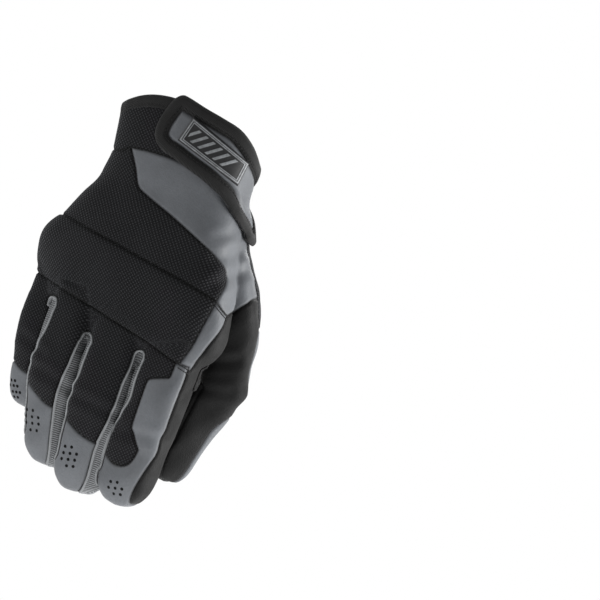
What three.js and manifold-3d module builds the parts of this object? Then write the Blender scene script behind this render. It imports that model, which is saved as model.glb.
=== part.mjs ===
// A right-hand mechanic's work glove in the shape that a hand gives it.
// Cuff up (+Z), fingers down, back of the hand towards -Y, palm towards +Y, thumb towards +X.
// The origin is the centre of the wrist opening. Units are millimetres.
import * as THREE from "three";
import { mergeVertices } from "three/addons/utils/BufferGeometryUtils.js";
import Module from "manifold-3d";

const wasm = await Module();
wasm.setup();

// Driving dimensions: the hand of the glove.
const palmLength = 140; // from the wrist opening to the webs of the long fingers
const palmWidth = 120; // across the knuckles, without the thumb
const palmDepth = 44;
const cuffWidth = 88;
const cuffDepth = 48;
const handTurn = 24; // degrees that the thumb side is turned towards -Y
const thumbWidth = 28;
const thumbLength = 168; // from its root at the wrist to its tip
const thumbSpread = 68; // how far its middle stands out from the wrist's centre

// Driving dimensions: one row for each finger, from its root to its tip.
// x and y place the root, lean and curl move the tip towards +X and towards the palm.
const fingers = [
  { name: "index", x: 35.2, y: -13, drop: 132, length: 99, width: 33.4, depth: 25, turn: 26, lean: -2, curl: 12 },
  { name: "middle", x: 1.8, y: -2, drop: 136, length: 98, width: 33, depth: 25, turn: 18, lean: 5, curl: 14 },
  { name: "ring", x: -29.4, y: 10, drop: 136, length: 90, width: 29.6, depth: 24, turn: 27, lean: 13, curl: 15 },
  { name: "little", x: -47, y: 31, drop: 124, length: 75, width: 24.6, depth: 22, turn: 22, lean: 8, curl: 14 },
];

// Driving dimensions: cloth, leather and trim.
const wall = 1.8; // one layer of cloth or leather
const gap = 0.3; // between two pieces that are sewn together
const bandPad = 1.6; // how far the padded knuckle band stands proud
const overlayWall = 1.5; // second leather layer on the palm
const padHeight = 2.2; // palm pads above that layer
const bindingHeight = 7; // cuff binding, measured down from the rim
const bindingWall = 1.2;
const strapWall = 2;
const strapBorder = 6; // width of the strap's bound edge
const borderWall = 2.8;
const badgeWall = 1.4;
const clearance = 0.35; // between a piece and what it lies on
const loopWidth = 8; // of the finger sidewalls where they start between two fingers
const backSeam = 0.55; // seam of back and sidewall, as a share of a finger's half depth
const palmSeam = 0.5; // seam of sidewall and palm, the same way

const bodySides = 16;
const fingerSides = 8;
const tipRadius = 0.6; // least half width of a section, where a finger's lining closes
const squareness = 3.2; // of the sections: 2 is an ellipse, more is squarer

// How far cutting shapes reach out of the form that they cut.
const bodyReach = 12;
const fingerReach = 4;
const halfReach = 6; // of half a finger and half the thumb
const skinReach = 1;

// Limits of pieces round the hand's edge, as shares of its half depth, left and right.
const backLimit = [0.35, 0];
const overlayLimit = [0.75, 0.3];
const littleSeam = 1.3; // back seam of the little finger's inner side, in back seams
const slotDepth = 0.9; // of a loop's slot, as a share of palmDepth
const slotDrop = 1.3; // and its height, in loop widths

// Sections of the hand, top to bottom. along is a share of palmLength, middleX and halfWidth of the
// row's width, middleY, halfDepth and droop of its depth, and turn of handTurn. droop is how far the
// little-finger side hangs towards the palm.
const cuff = { width: cuffWidth, depth: cuffDepth };
const palm = { width: palmWidth, depth: palmDepth };
const bodyRows = [
  { size: cuff, along: -0.17, middleX: 0.0, middleY: 0.0, halfWidth: 0.505, halfDepth: 0.5, turn: 0.6, droop: 0.0 },
  { size: cuff, along: 0.0, middleX: -0.015, middleY: 0.0, halfWidth: 0.49, halfDepth: 0.49, turn: 0.6, droop: 0.02 },
  { size: cuff, along: 0.24, middleX: -0.01, middleY: 0.03, halfWidth: 0.455, halfDepth: 0.46, turn: 0.66, droop: 0.06 },
  { size: palm, along: 0.34, middleX: 0.012, middleY: 0.045, halfWidth: 0.375, halfDepth: 0.5, turn: 0.72, droop: 0.09 },
  { size: palm, along: 0.44, middleX: -0.003, middleY: 0.055, halfWidth: 0.42, halfDepth: 0.52, turn: 0.8, droop: 0.11 },
  { size: palm, along: 0.54, middleX: -0.018, middleY: 0.07, halfWidth: 0.47, halfDepth: 0.52, turn: 0.88, droop: 0.15 },
  { size: palm, along: 0.64, middleX: -0.03, middleY: 0.08, halfWidth: 0.53, halfDepth: 0.5, turn: 0.96, droop: 0.19 },
  { size: palm, along: 0.74, middleX: -0.02, middleY: 0.09, halfWidth: 0.55, halfDepth: 0.47, turn: 1.0, droop: 0.23 },
  { size: palm, along: 0.84, middleX: 0.002, middleY: 0.09, halfWidth: 0.54, halfDepth: 0.42, turn: 1.0, droop: 0.26 },
  { size: palm, along: 0.92, middleX: 0.003, middleY: 0.09, halfWidth: 0.52, halfDepth: 0.37, turn: 1.0, droop: 0.28 },
  { size: palm, along: 0.98, middleX: -0.01, middleY: 0.09, halfWidth: 0.48, halfDepth: 0.27, turn: 1.0, droop: 0.28 },
  { size: palm, along: 1.045, middleX: -0.02, middleY: 0.09, halfWidth: 0.38, halfDepth: 0.14, turn: 1.0, droop: 0.28 },
];

// Sections of a finger. along is a share of its length, wide and deep of its half width and half
// depth, lean and curl of the finger's own lean and curl.
const fingerRows = [
  { along: -0.22, wide: 0.85, deep: 0.85, lean: 0.0, curl: -0.02 },
  { along: 0.0, wide: 0.98, deep: 1.0, lean: 0.0, curl: 0.0 },
  { along: 0.35, wide: 1.0, deep: 1.0, lean: 0.1, curl: 0.12 },
  { along: 0.62, wide: 0.98, deep: 0.95, lean: 0.45, curl: 0.45 },
  { along: 0.82, wide: 0.94, deep: 0.87, lean: 0.73, curl: 0.74 },
  { along: 0.94, wide: 0.74, deep: 0.68, lean: 0.93, curl: 0.93 },
  { along: 1.0, wide: 0.3, deep: 0.3, lean: 1.0, curl: 1.0 },
];

// Sections of the thumb. along is a share of thumbLength, out of thumbSpread, back of palmDepth,
// and wide and deep of half of thumbWidth. twist, in degrees, turns the seams with the thumb.
const thumbRows = [
  { along: 0.0, out: 0.46, back: 0.14, wide: 0.95, deep: 0.9, twist: 14 },
  { along: 0.13, out: 0.58, back: 0.2, wide: 1.15, deep: 1.15, twist: 14 },
  { along: 0.27, out: 0.79, back: 0.28, wide: 1.18, deep: 1.25, twist: 12 },
  { along: 0.39, out: 0.91, back: 0.36, wide: 1.12, deep: 1.15, twist: 8 },
  { along: 0.51, out: 0.97, back: 0.44, wide: 1.02, deep: 1.05, twist: 2 },
  { along: 0.62, out: 0.99, back: 0.5, wide: 0.98, deep: 1.0, twist: -6 },
  { along: 0.79, out: 0.91, back: 0.58, wide: 0.85, deep: 0.87, twist: -24 },
  { along: 0.89, out: 0.86, back: 0.64, wide: 0.76, deep: 0.8, twist: -30 },
  { along: 0.97, out: 0.85, back: 0.7, wide: 0.55, deep: 0.56, twist: -30 },
  { along: 1.0, out: 0.85, back: 0.71, wide: 0.2, deep: 0.2, twist: -30 },
];
const thumbRoot = 0.285; // share of palmLength where the thumb starts
const thumbSeam = 0.1; // share of its half width where grey side and palm leather meet

// Outlines of the pieces as they look from the front or from behind. u is a share of palmWidth
// towards +X and v a share of palmLength down from the wrist opening. Each inner list is one smooth
// run, and the runs meet at corners.
const seamA = [[-0.75, 0.53], [-0.48, 0.562], [0.216, 0.655], [0.41, 0.69]];
const seamB = [[-0.75, 0.8], [-0.5, 0.84], [-0.25, 0.88], [0.08, 0.935], [0.34, 0.99]];
const sidePanelLeft = [
  [0.41, 0.69], [0.422, 0.61], [0.415, 0.565], [0.357, 0.522], [0.226, 0.472], [0.065, 0.416],
  [-0.094, 0.367], [-0.155, 0.34], [-0.2, 0.27], [-0.255, 0.198],
];
const sidePanelTop = [[-0.255, 0.198], [-0.14, 0.188], [0.1, 0.19], [0.3, 0.22], [0.8, 0.25]];
const sidePanelEnd = [[0.8, 0.25], [0.8, 0.56]];
const thumbTop = [[0.8, 0.56], [0.6, 0.612], [0.545, 0.66], [0.483, 0.73]];
const stripLeft = [[0.41, 0.69], [0.4, 0.75], [0.385, 0.83], [0.37, 0.91], [0.34, 0.99]];
const stripRight = [[0.403, 1.0], [0.423, 0.944], [0.473, 0.806], [0.483, 0.73]];
const cuffLower = [[-0.9, 0.245], [-0.35, 0.226], [-0.255, 0.198], [-0.14, 0.188], [0.1, 0.19], [0.9, 0.24]];
const gussetInner = [
  [0.8, 0.8], [0.63, 0.73], [0.55, 0.63], [0.46, 0.54], [0.37, 0.46], [0.3, 0.39], [0.25, 0.3], [0.22, 0.22],
];
const thumbSideInner = [[0.66, 0.9], [0.52, 0.66], [0.42, 0.56], [0.3, 0.44]];

const overlayOutline = [
  [[0.47, 0.78], [0.475, 0.9], [0.46, 1.08]],
  [[0.46, 1.08], [0.22, 1.09]],
  [[0.22, 1.09], [0.185, 1.03], [0.145, 0.99], [0.1, 1.03], [0.07, 1.08]],
  [[0.07, 1.08], [-0.06, 1.07]],
  [[-0.06, 1.07], [-0.1, 1.02], [-0.145, 0.995], [-0.185, 1.02], [-0.21, 1.06]],
  [[-0.21, 1.06], [-0.3, 1.05]],
  [[-0.3, 1.05], [-0.335, 0.98], [-0.385, 0.925], [-0.42, 0.95], [-0.44, 1.0]],
  [[-0.44, 1.0], [-0.47, 0.97]],
  [
    [-0.47, 0.97], [-0.48, 0.87], [-0.5, 0.8], [-0.51, 0.7], [-0.49, 0.58], [-0.44, 0.38], [-0.405, 0.27],
  ],
  [[-0.405, 0.27], [-0.2, 0.24], [-0.17, 0.27]],
  [[-0.17, 0.27], [-0.17, 0.48], [-0.175, 0.55], [-0.13, 0.62], [-0.06, 0.67]],
  [[-0.06, 0.67], [0.0, 0.67], [-0.055, 0.615], [-0.115, 0.55], [-0.12, 0.47], [-0.1, 0.28]],
  [[-0.1, 0.28], [-0.05, 0.265], [0.17, 0.28], [0.22, 0.3]],
  [[0.22, 0.3], [0.28, 0.42], [0.36, 0.57], [0.41, 0.7], [0.47, 0.78]],
];
const slitOutline = [
  [[-0.7, 0.75], [-0.2, 0.73]],
  [[-0.2, 0.73], [-0.175, 0.718], [-0.2, 0.706]],
  [[-0.2, 0.706], [-0.7, 0.7]],
  [[-0.7, 0.7], [-0.7, 0.75]],
];
const thenarPad = [
  [[0.0, 0.73], [0.2, 0.8], [0.35, 0.8], [0.4, 0.74]],
  [[0.4, 0.74], [0.34, 0.6], [0.26, 0.46], [0.2, 0.35]],
  [[0.2, 0.35], [0.15, 0.325], [-0.04, 0.305]],
  [[-0.04, 0.305], [-0.07, 0.45], [-0.075, 0.54], [-0.02, 0.62], [0.03, 0.67], [0.0, 0.73]],
];
const heelPad = [
  [[-0.47, 0.67], [-0.44, 0.55], [-0.39, 0.4], [-0.36, 0.31]],
  [[-0.36, 0.31], [-0.22, 0.285]],
  [[-0.22, 0.285], [-0.22, 0.45], [-0.225, 0.55], [-0.18, 0.64], [-0.1, 0.7]],
  [[-0.1, 0.7], [-0.3, 0.68], [-0.47, 0.67]],
];

const strapOutline = [
  [
    [-0.12, 0.1], [-0.155, 0.05], [-0.145, -0.03], [-0.105, -0.085], [-0.05, -0.095], [0.03, -0.072],
    [0.18, -0.044], [0.27, -0.012], [0.34, 0.06], [0.4, 0.15],
  ],
  [[0.4, 0.15], [0.7, 0.25]],
  [[0.7, 0.25], [0.7, 0.44]],
  [
    [0.7, 0.44], [0.46, 0.425], [0.395, 0.375], [0.325, 0.32], [0.24, 0.25], [0.15, 0.216], [0.06, 0.2],
    [-0.06, 0.155], [-0.12, 0.1],
  ],
];
const badgeCorners = [[-0.018, -0.022], [0.285, 0.085], [0.262, 0.185], [-0.055, 0.1]];
// Upper edge of the strap round the thumb side, to its end: shares of cuffDepth towards +Y and of
// palmLength down.
const strapSide = [[-0.31, 0.1], [0.28, 0.13]];

// Cap lines on the backs of the fingers. s is a share of the half width and t of the length.
const capLines = {
  index: [
    [[1.6, 0.065], [0.23, 0.065]],
    [[0.23, 0.065], [0.2, 0.16]],
    [[0.2, 0.16], [-0.42, 0.205], [-0.52, 0.235], [-0.53, 0.28]],
    [[-0.53, 0.28], [-0.46, 0.53]],
    [[-0.46, 0.53], [0.06, 0.632]],
    [[0.06, 0.632], [0.0, 0.7], [-0.13, 0.745], [-0.4, 0.768], [-0.7, 0.765], [-1.0, 0.735], [-1.3, 0.69]],
  ],
  middle: [[[1.3, 0.65], [0.54, 0.66], [0.1, 0.658], [-0.32, 0.643], [-0.72, 0.615], [-1.3, 0.56]]],
  ring: [[[1.3, 0.58], [0.27, 0.598], [-0.05, 0.599], [-0.34, 0.587], [-0.66, 0.559], [-1.3, 0.48]]],
  little: [[[1.3, 0.74], [0.2, 0.735], [-0.13, 0.72], [-0.53, 0.7], [-0.9, 0.64], [-1.3, 0.58]]],
};

// Colours and finishes.
const looks = {
  mesh: { color: 0x2a2b2d, roughness: 0.95 },
  grey: { color: 0x77797c, roughness: 0.85 },
  knit: { color: 0x63666a, roughness: 0.95 },
  leather: { color: 0x1d1d1e, roughness: 0.6 },
  pad: { color: 0x2a2c2c, roughness: 0.7 },
  binding: { color: 0x28282a, roughness: 0.9 },
  badge: { color: 0x17181a, roughness: 0.5 },
};

const radians = THREE.MathUtils.degToRad;
const far = 3 * palmWidth; // larger than the glove, for cutting shapes

// A three.js geometry as a solid.
function solid(geometry) {
  const g = geometry.index ? geometry.toNonIndexed() : geometry.clone();
  g.deleteAttribute("normal");
  g.deleteAttribute("uv");
  const merged = mergeVertices(g, 1e-4);
  const vertProperties = Float32Array.from(merged.attributes.position.array);
  const triVerts = Uint32Array.from(merged.index.array);
  const made = new wasm.Manifold(new wasm.Mesh({ numProp: 3, vertProperties, triVerts }));
  if (made.volume() > 0) return made;
  for (let i = 0; i < triVerts.length; i += 3) {
    [triVerts[i + 1], triVerts[i + 2]] = [triVerts[i + 2], triVerts[i + 1]];
  }
  return new wasm.Manifold(new wasm.Mesh({ numProp: 3, vertProperties, triVerts }));
}

// Closed body through rings that all have the same number of points.
function loft(rings) {
  const count = rings[0].length;
  const points = rings.flat();
  const index = [];
  rings.slice(1).forEach((ring, r) => {
    ring.forEach((_, i) => {
      const j = (i + 1) % count;
      const [a, b, c, d] = [r * count + i, r * count + j, (r + 1) * count + i, (r + 1) * count + j];
      index.push(a, b, d, a, d, c);
    });
  });
  [rings[0], rings.at(-1)].forEach((ring, end) => {
    const centre = points.length;
    const first = end ? (rings.length - 1) * count : 0;
    points.push(ring.reduce((sum, p) => sum.add(p), new THREE.Vector3()).divideScalar(count));
    ring.forEach((_, i) => {
      const pair = [first + i, first + ((i + 1) % count)];
      index.push(centre, ...(end ? pair : pair.reverse()));
    });
  });
  const geometry = new THREE.BufferGeometry().setFromPoints(points);
  geometry.setIndex(index);
  return solid(geometry);
}

// Point at (wide, deep) in a section's own turned directions.
function place(section, wide, deep) {
  const turn = radians(section.turn);
  const hang = section.droop * THREE.MathUtils.clamp(-wide / section.halfWidth, 0, 1.05) ** 2;
  return new THREE.Vector3(
    section.x + wide * Math.cos(turn) + (deep + hang) * Math.sin(turn),
    section.y - wide * Math.sin(turn) + (deep + hang) * Math.cos(turn),
    section.z,
  );
}

// Ring of a section, grown outwards by grow on all sides.
function ringOf(section, grow, sides) {
  const power = 2 / squareness;
  return Array.from({ length: sides }, (_, i) => {
    const angle = (2 * Math.PI * (i + 0.5)) / sides;
    const [c, s] = [Math.cos(angle), Math.sin(angle)];
    const wide = Math.sign(c) * Math.abs(c) ** power * Math.max(tipRadius, section.halfWidth + grow);
    const deep = Math.sign(s) * Math.abs(s) ** power * Math.max(tipRadius, section.halfDepth + grow);
    const point = place(section, wide, deep);
    point.z -= grow * section.tip;
    return point;
  });
}

// Part of a limb between two depths, each a function of the section that gives (left, right).
function layer(sections, near, back, reach) {
  const shares = sections.some((section) => section.droop) ? [-1, -0.7, -0.4, 0, 1] : [-1, 1];
  return loft(
    sections.map((section) => {
      const side = reach(section);
      const across = shares.map((share) => share * side);
      const at = (depth) => (wide) => {
        const [left, right] = depth(section);
        return place(section, wide, THREE.MathUtils.mapLinear(wide, -side, side, left, right));
      };
      return [...across.map(at(near)), ...across.reverse().map(at(back))];
    }),
  );
}

const bodySections = bodyRows.map((row) => ({
  x: row.middleX * row.size.width,
  y: row.middleY * row.size.depth,
  z: -row.along * palmLength,
  halfWidth: row.halfWidth * row.size.width,
  halfDepth: row.halfDepth * row.size.depth,
  turn: row.turn * handTurn,
  droop: row.droop * row.size.depth,
  tip: row.along > 0.99 ? 1 : 0,
}));

function fingerSection(finger, row) {
  return {
    x: finger.x + row.lean * finger.lean,
    y: finger.y + row.curl * finger.curl,
    z: -finger.drop - row.along * finger.length,
    halfWidth: (row.wide * finger.width) / 2,
    halfDepth: (row.deep * finger.depth) / 2,
    turn: finger.turn,
    droop: 0,
    tip: row.along > 0.7 ? 1 - row.wide : 0,
  };
}
const fingerSections = Object.fromEntries(
  fingers.map((finger) => [finger.name, fingerRows.map((row) => fingerSection(finger, row))]),
);
const thumbSections = thumbRows.map((row) => ({
  x: row.out * thumbSpread,
  y: row.back * palmDepth,
  z: -thumbRoot * palmLength - row.along * thumbLength,
  halfWidth: (row.wide * thumbWidth) / 2,
  halfDepth: (row.deep * thumbWidth) / 2,
  turn: row.twist,
  droop: 0,
  tip: row.along > 0.7 ? 1 - row.wide : 0,
}));

const bodyVolume = (grow) => loft(bodySections.map((s) => ringOf(s, grow, bodySides)));
const fingerVolume = (name, grow) => loft(fingerSections[name].map((s) => ringOf(s, grow, fingerSides)));
const thumbVolume = (grow) => loft(thumbSections.map((s) => ringOf(s, grow, fingerSides)));

function handVolume(grow) {
  const limbs = fingers.map((finger) => fingerVolume(finger.name, grow));
  return limbs.reduce((sum, limb) => sum.add(limb), bodyVolume(grow).add(thumbVolume(grow)));
}

// Smooth runs of shares as one closed or open list of points, in mm.
function trace(runs, toPlace, step = 17) {
  return runs.flatMap((run) => {
    const points = run.map(([u, v]) => toPlace(u, v));
    if (points.length < 3) return points.slice(0, -1);
    const curve = new THREE.SplineCurve(points);
    return curve.getPoints(Math.max(3, Math.round(curve.getLength() / step))).slice(0, -1);
  });
}
const onPalm = (u, v) => new THREE.Vector2(u * palmWidth, -v * palmLength);

// Outline moved outwards by grow.
function widened(points, grow) {
  if (!grow) return points;
  const outward = THREE.ShapeUtils.isClockWise(points) ? -1 : 1;
  return points.map((point, i) => {
    const before = points.at(i - 1);
    const after = points[(i + 1) % points.length];
    const into = point.clone().sub(before).normalize();
    const out = after.clone().sub(point).normalize();
    const along = into.clone().add(out).normalize();
    const miter = Math.max(0.5, along.dot(out));
    const push = (outward * grow) / miter;
    return new THREE.Vector2(point.x + along.y * push, point.y - along.x * push);
  });
}

// Outline as a bar that runs through the whole glove along Y.
function bar(points, grow = 0, front = -far / 2, back = far / 2) {
  const shape = new THREE.Shape(widened(points, grow));
  const geometry = new THREE.ExtrudeGeometry(shape, { depth: back - front, bevelEnabled: false });
  geometry.rotateX(Math.PI / 2);
  geometry.translate(0, back, 0);
  return solid(geometry);
}

// Everything below or above a line across the glove.
function beyond(runs, side, grow) {
  const line = trace([...runs, [runs.at(-1).at(-1), [0, 0]]], onPalm);
  const edge = side * far;
  const closed = [...line, new THREE.Vector2(line.at(-1).x, edge), new THREE.Vector2(line[0].x, edge)];
  return bar(closed, grow);
}

// Everything below a height.
function lower(height) {
  const block = new THREE.BoxGeometry(far, far, far);
  block.translate(0, 0, height - far / 2);
  return solid(block);
}

// Rim of the cuff: arched across the back of the hand and sloping down towards the palm.
const rimTop = 9.5; // above the origin, in the middle of the back
const rimArch = 10; // lower than that at the little-finger side
const rimArchThumb = 18; // and at the thumb side, where the strap pulls
const rimSlope = 14; // degrees
function aboveRim(lift) {
  const half = cuffWidth / 2;
  const curve = [-1.6, -1, -0.75, -0.5, -0.25, 0, 0.25, 0.5, 0.75, 1, 1.6].map(
    (share) => new THREE.Vector2(share * half, rimTop - (share > 0 ? rimArchThumb : rimArch) * share ** 2),
  );
  const closed = [...curve, new THREE.Vector2(2 * half, far), new THREE.Vector2(-2 * half, far)];
  const geometry = new THREE.ExtrudeGeometry(new THREE.Shape(closed), { depth: far, bevelEnabled: false });
  geometry.rotateX(Math.PI / 2);
  geometry.translate(0, far / 2, 0);
  geometry.translate(0, cuffDepth / 2, -rimTop);
  geometry.rotateX(-radians(rimSlope));
  geometry.translate(0, -cuffDepth / 2, rimTop + lift);
  return solid(geometry);
}

const outer = handVolume(0);
const inner = handVolume(-wall);
const glove = outer.subtract(inner).subtract(aboveRim(0));

// Front of the hand: on the little-finger side it reaches further round than on the thumb side.
const bodyFront = (grow) =>
  layer(
    bodySections,
    () => [-palmDepth, -palmDepth],
    (s) => backLimit.map((limit) => limit * s.halfDepth + grow),
    (s) => s.halfWidth + bodyReach,
  );
const fingerBetween = (name, from, [left, right], grow) =>
  layer(
    fingerSections[name],
    (s) => [from * s.halfDepth - grow, from * s.halfDepth - grow],
    (s) => [left * s.halfDepth + grow, right * s.halfDepth + grow],
    (s) => s.halfWidth + fingerReach,
  );
// The back of the little finger goes on round its outer side.
const frontEnds = (name) => (name === "little" ? [palmSeam, -littleSeam * backSeam] : [-backSeam, -backSeam]);
const fingerFront = (name, grow) =>
  fingerVolume(name, skinReach + grow).intersect(fingerBetween(name, -1.6, frontEnds(name), grow));
const fingerMiddle = (name, grow) =>
  fingerVolume(name, skinReach + grow).intersect(fingerBetween(name, -backSeam, [palmSeam, palmSeam], grow));

// Front and outer side of the thumb.
const thumbFrontHalf = (grow) =>
  thumbVolume(skinReach + grow).intersect(
    layer(thumbSections, () => [-thumbWidth, -thumbWidth], () => [grow, grow], (s) => s.halfWidth + halfReach),
  );
const thumbOuterHalf = (grow) =>
  thumbVolume(skinReach + grow).intersect(
    loft(
      thumbSections.map((s) => [
        place(s, thumbSeam * s.halfWidth - grow, -thumbWidth),
        place(s, thumbWidth, -thumbWidth),
        place(s, thumbWidth, thumbWidth),
        place(s, thumbSeam * s.halfWidth - grow, thumbWidth),
      ]),
    ),
  );

// Cap line of a finger as a closed outline round its tip.
function capOutline(finger) {
  const rows = fingerRows.filter((row) => row.along >= 0);
  const leanAt = (t) => {
    const next = Math.max(1, rows.findIndex((row) => row.along >= t));
    const [a, b] = [rows[next - 1], rows[next]];
    return THREE.MathUtils.mapLinear(t, a.along, b.along, a.lean, b.lean);
  };
  const onFinger = (s, t) =>
    new THREE.Vector2(
      finger.x + leanAt(t) * finger.lean + (s * finger.width) / 2,
      -finger.drop - t * finger.length,
    );
  const line = trace([...capLines[finger.name], [capLines[finger.name].at(-1).at(-1), [0, 0]]], onFinger, 3);
  const low = -finger.drop - 1.2 * finger.length;
  return [...line, new THREE.Vector2(line.at(-1).x, low), new THREE.Vector2(line[0].x, low)];
}

// Cutting shapes of the pieces, each a function of how far it is grown.
const cells = new Map();
fingers.forEach((finger) => {
  cells.set(finger.name + "_cap", (grow) =>
    fingerFront(finger.name, grow).intersect(bar(capOutline(finger), grow)),
  );
});
const thumbSideOfHand = (grow) =>
  layer(thumbSections, () => [-palmWidth / 2, -palmWidth / 2], () => [grow, grow], () => palmWidth / 2).intersect(
    bar([[0.22, 0], [0.22, 1], [1.2, 1], [1.2, 0]].map(([u, v]) => onPalm(u, v)), grow),
  );
const frontOfHand = (grow) => bodyFront(grow).add(thumbSideOfHand(grow));
const sidePanelOutline = trace(
  [sidePanelLeft, sidePanelTop, sidePanelEnd, thumbTop, [[0.483, 0.73], [0.41, 0.69]]],
  onPalm,
);
const stripOutline = trace(
  [stripLeft, [[0.34, 0.99], [0.403, 1.0]], stripRight, [[0.483, 0.73], [0.41, 0.69]]],
  onPalm,
);
cells.set("cuff_band", (grow) => beyond([cuffLower], 1, grow));
cells.set("side_panel", (grow) => frontOfHand(grow).intersect(bar(sidePanelOutline, grow)));
cells.set("side_strip", (grow) => bodyFront(grow).intersect(bar(stripOutline, grow)));

// Sidewalls between neighbouring fingers, with the loop that joins them at the web.
const webs = [
  { name: "middle_index_sidewall", left: "middle", right: "index", u: 0.135, v: 0.992 },
  { name: "ring_middle_sidewall", left: "ring", right: "middle", u: -0.148, v: 1.0 },
  { name: "little_ring_sidewall", left: "little", right: "ring", u: -0.383, v: 0.908 },
];
const halfFinger = (name, side, grow) =>
  loft(
    fingerSections[name].map((s) => [
      place(s, -side * grow, -palmDepth / 2),
      place(s, side * (s.halfWidth + halfReach), -palmDepth / 2),
      place(s, side * (s.halfWidth + halfReach), palmDepth / 2),
      place(s, -side * grow, palmDepth / 2),
    ]),
  );
webs.forEach((web) => {
  const top = onPalm(web.u, web.v);
  const radius = loopWidth / 2;
  const arc = Array.from({ length: 7 }, (_, i) => {
    const angle = (Math.PI * i) / 6;
    return new THREE.Vector2(top.x + radius * Math.cos(angle), top.y - radius + radius * Math.sin(angle));
  });
  const slotEnd = top.y - slotDrop * loopWidth;
  const slot = [...arc, new THREE.Vector2(arc[6].x, slotEnd), new THREE.Vector2(arc[0].x, slotEnd)];
  const slotBack = slotDepth * palmDepth;
  cells.set(web.name, (grow) => {
    const left = fingerMiddle(web.left, grow).intersect(halfFinger(web.left, 1, grow));
    const right = fingerMiddle(web.right, grow).intersect(halfFinger(web.right, -1, grow));
    return left.add(right).intersect(lower(top.y + grow)).add(bar(slot, grow, -slotBack, slotBack));
  });
});

const bandLower = trace([seamB, [seamB.at(-1), [0, 0]]], onPalm).reverse();
const bandOutline = [...trace([seamA, stripLeft], onPalm), ...bandLower];
cells.set("knuckle_band", (grow) => bodyFront(grow).intersect(bar(bandOutline, grow)));
cells.set("back_panel", (grow) => bodyFront(grow).intersect(beyond([seamA], 1, grow)));
cells.set("finger_back_panel", (grow) => {
  const backs = fingers.map((finger) => fingerFront(finger.name, grow));
  return backs.reduce((sum, back) => sum.add(back), bodyFront(grow));
});
const gussetOutline = trace([gussetInner, [[0.22, 0.22], [0.9, 0.22]], [[0.9, 0.22], [0.8, 0.8]]], onPalm);
cells.set("thumb_front", (grow) => thumbFrontHalf(grow));
cells.set("thumb_gusset", (grow) => bar(gussetOutline, grow));
const thumbSideOutline = trace(
  [
    thumbSideInner,
    [[0.3, 0.44], [1.2, 0.44]],
    [[1.2, 0.44], [1.2, 2]],
    [[1.2, 2], [0.3, 2]],
    [[0.3, 2], [0.4, 1.4], [0.66, 0.9]],
  ],
  onPalm,
);
cells.set("thumb_side", (grow) => thumbOuterHalf(grow).intersect(bar(thumbSideOutline, grow)));

// Each piece is its part of the glove's wall, less what the pieces before it took with their gap.
const pieces = new Map();
const biggest = (shape) => shape.decompose().sort((a, b) => b.volume() - a.volume())[0];
let taken = aboveRim(0);
for (const [name, cell] of cells) {
  const wallHere = name === "knuckle_band" ? handVolume(bandPad).subtract(inner) : glove;
  pieces.set(name, biggest(wallHere.intersect(cell(0)).subtract(taken)));
  taken = taken.add(cell(gap));
}
pieces.set("palm_panel", biggest(glove.subtract(taken)));

// Cuff binding: folded over the rim, inside and outside.
const foldOuter = bodyVolume(clearance + bindingWall).subtract(bodyVolume(-wall - clearance - bindingWall));
const foldInner = bodyVolume(clearance).subtract(bodyVolume(-wall - clearance)).subtract(aboveRim(clearance));
pieces.set(
  "cuff_binding",
  biggest(
    foldOuter.subtract(foldInner).subtract(aboveRim(clearance + bindingWall)).intersect(aboveRim(-bindingHeight)),
  ),
);

// Layers that lie on the glove: a skin between two heights, inside an outline.
const skin = (from, to) => handVolume(to).subtract(handVolume(from));
const palmSide = fingers
  .map((finger) => fingerVolume(finger.name, fingerReach).intersect(fingerBetween(finger.name, palmSeam, [2, 2], 0)))
  .reduce(
    (sum, front) => sum.add(front),
    layer(
      bodySections,
      (s) => overlayLimit.map((limit) => limit * s.halfDepth),
      () => [palmDepth, palmDepth],
      (s) => s.halfWidth + bodyReach,
    ),
  );
const overlayShape = bar(trace(overlayOutline, onPalm)).subtract(bar(trace(slitOutline, onPalm)));
const overlayTop = clearance + overlayWall;
const overlay = skin(clearance, overlayTop).intersect(overlayShape).intersect(palmSide);
pieces.set("palm_overlay", biggest(overlay.subtract(cells.get("knuckle_band")(clearance))));
const padSkin = skin(overlayTop + clearance, overlayTop + clearance + padHeight).intersect(palmSide);
pieces.set("thenar_pad", biggest(padSkin.intersect(bar(trace(thenarPad, onPalm)))));
pieces.set("heel_pad", biggest(padSkin.intersect(bar(trace(heelPad, onPalm)))));

// Wrist strap with its bound edge and its badge.
const strapPoints = trace(strapOutline, onPalm);
const strapSidePoints = strapSide.map(([u, v]) => new THREE.Vector2(u * cuffDepth, -v * palmLength));
function strapBar(grow) {
  const [turn, end] = strapSidePoints;
  const outline = [
    new THREE.Vector2(-far, far),
    new THREE.Vector2(turn.x, far),
    new THREE.Vector2(turn.x, turn.y + grow),
    new THREE.Vector2(end.x + grow, end.y + grow),
    new THREE.Vector2(end.x + grow, -far),
    new THREE.Vector2(-far, -far),
  ];
  const geometry = new THREE.ExtrudeGeometry(new THREE.Shape(outline), { depth: far, bevelEnabled: false });
  geometry.translate(0, 0, -far / 2);
  geometry.rotateX(Math.PI / 2);
  geometry.rotateZ(Math.PI / 2);
  return bar(strapPoints, grow).intersect(solid(geometry));
}
const strapRest = clearance + bindingWall + clearance; // it crosses the cuff binding
const borderSkin = skin(strapRest, strapRest + borderWall);
const strapSkin = skin(strapRest, strapRest + strapWall);
pieces.set("strap_binding", biggest(borderSkin.intersect(strapBar(0)).subtract(strapBar(-strapBorder))));
pieces.set("wrist_strap", biggest(strapSkin.intersect(strapBar(-strapBorder - gap))));
const badgePoints = badgeCorners.map(([u, v]) => onPalm(u, v));
const badgeRest = strapRest + strapWall + clearance;
const badgeSkin = skin(badgeRest, badgeRest + badgeWall);
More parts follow.
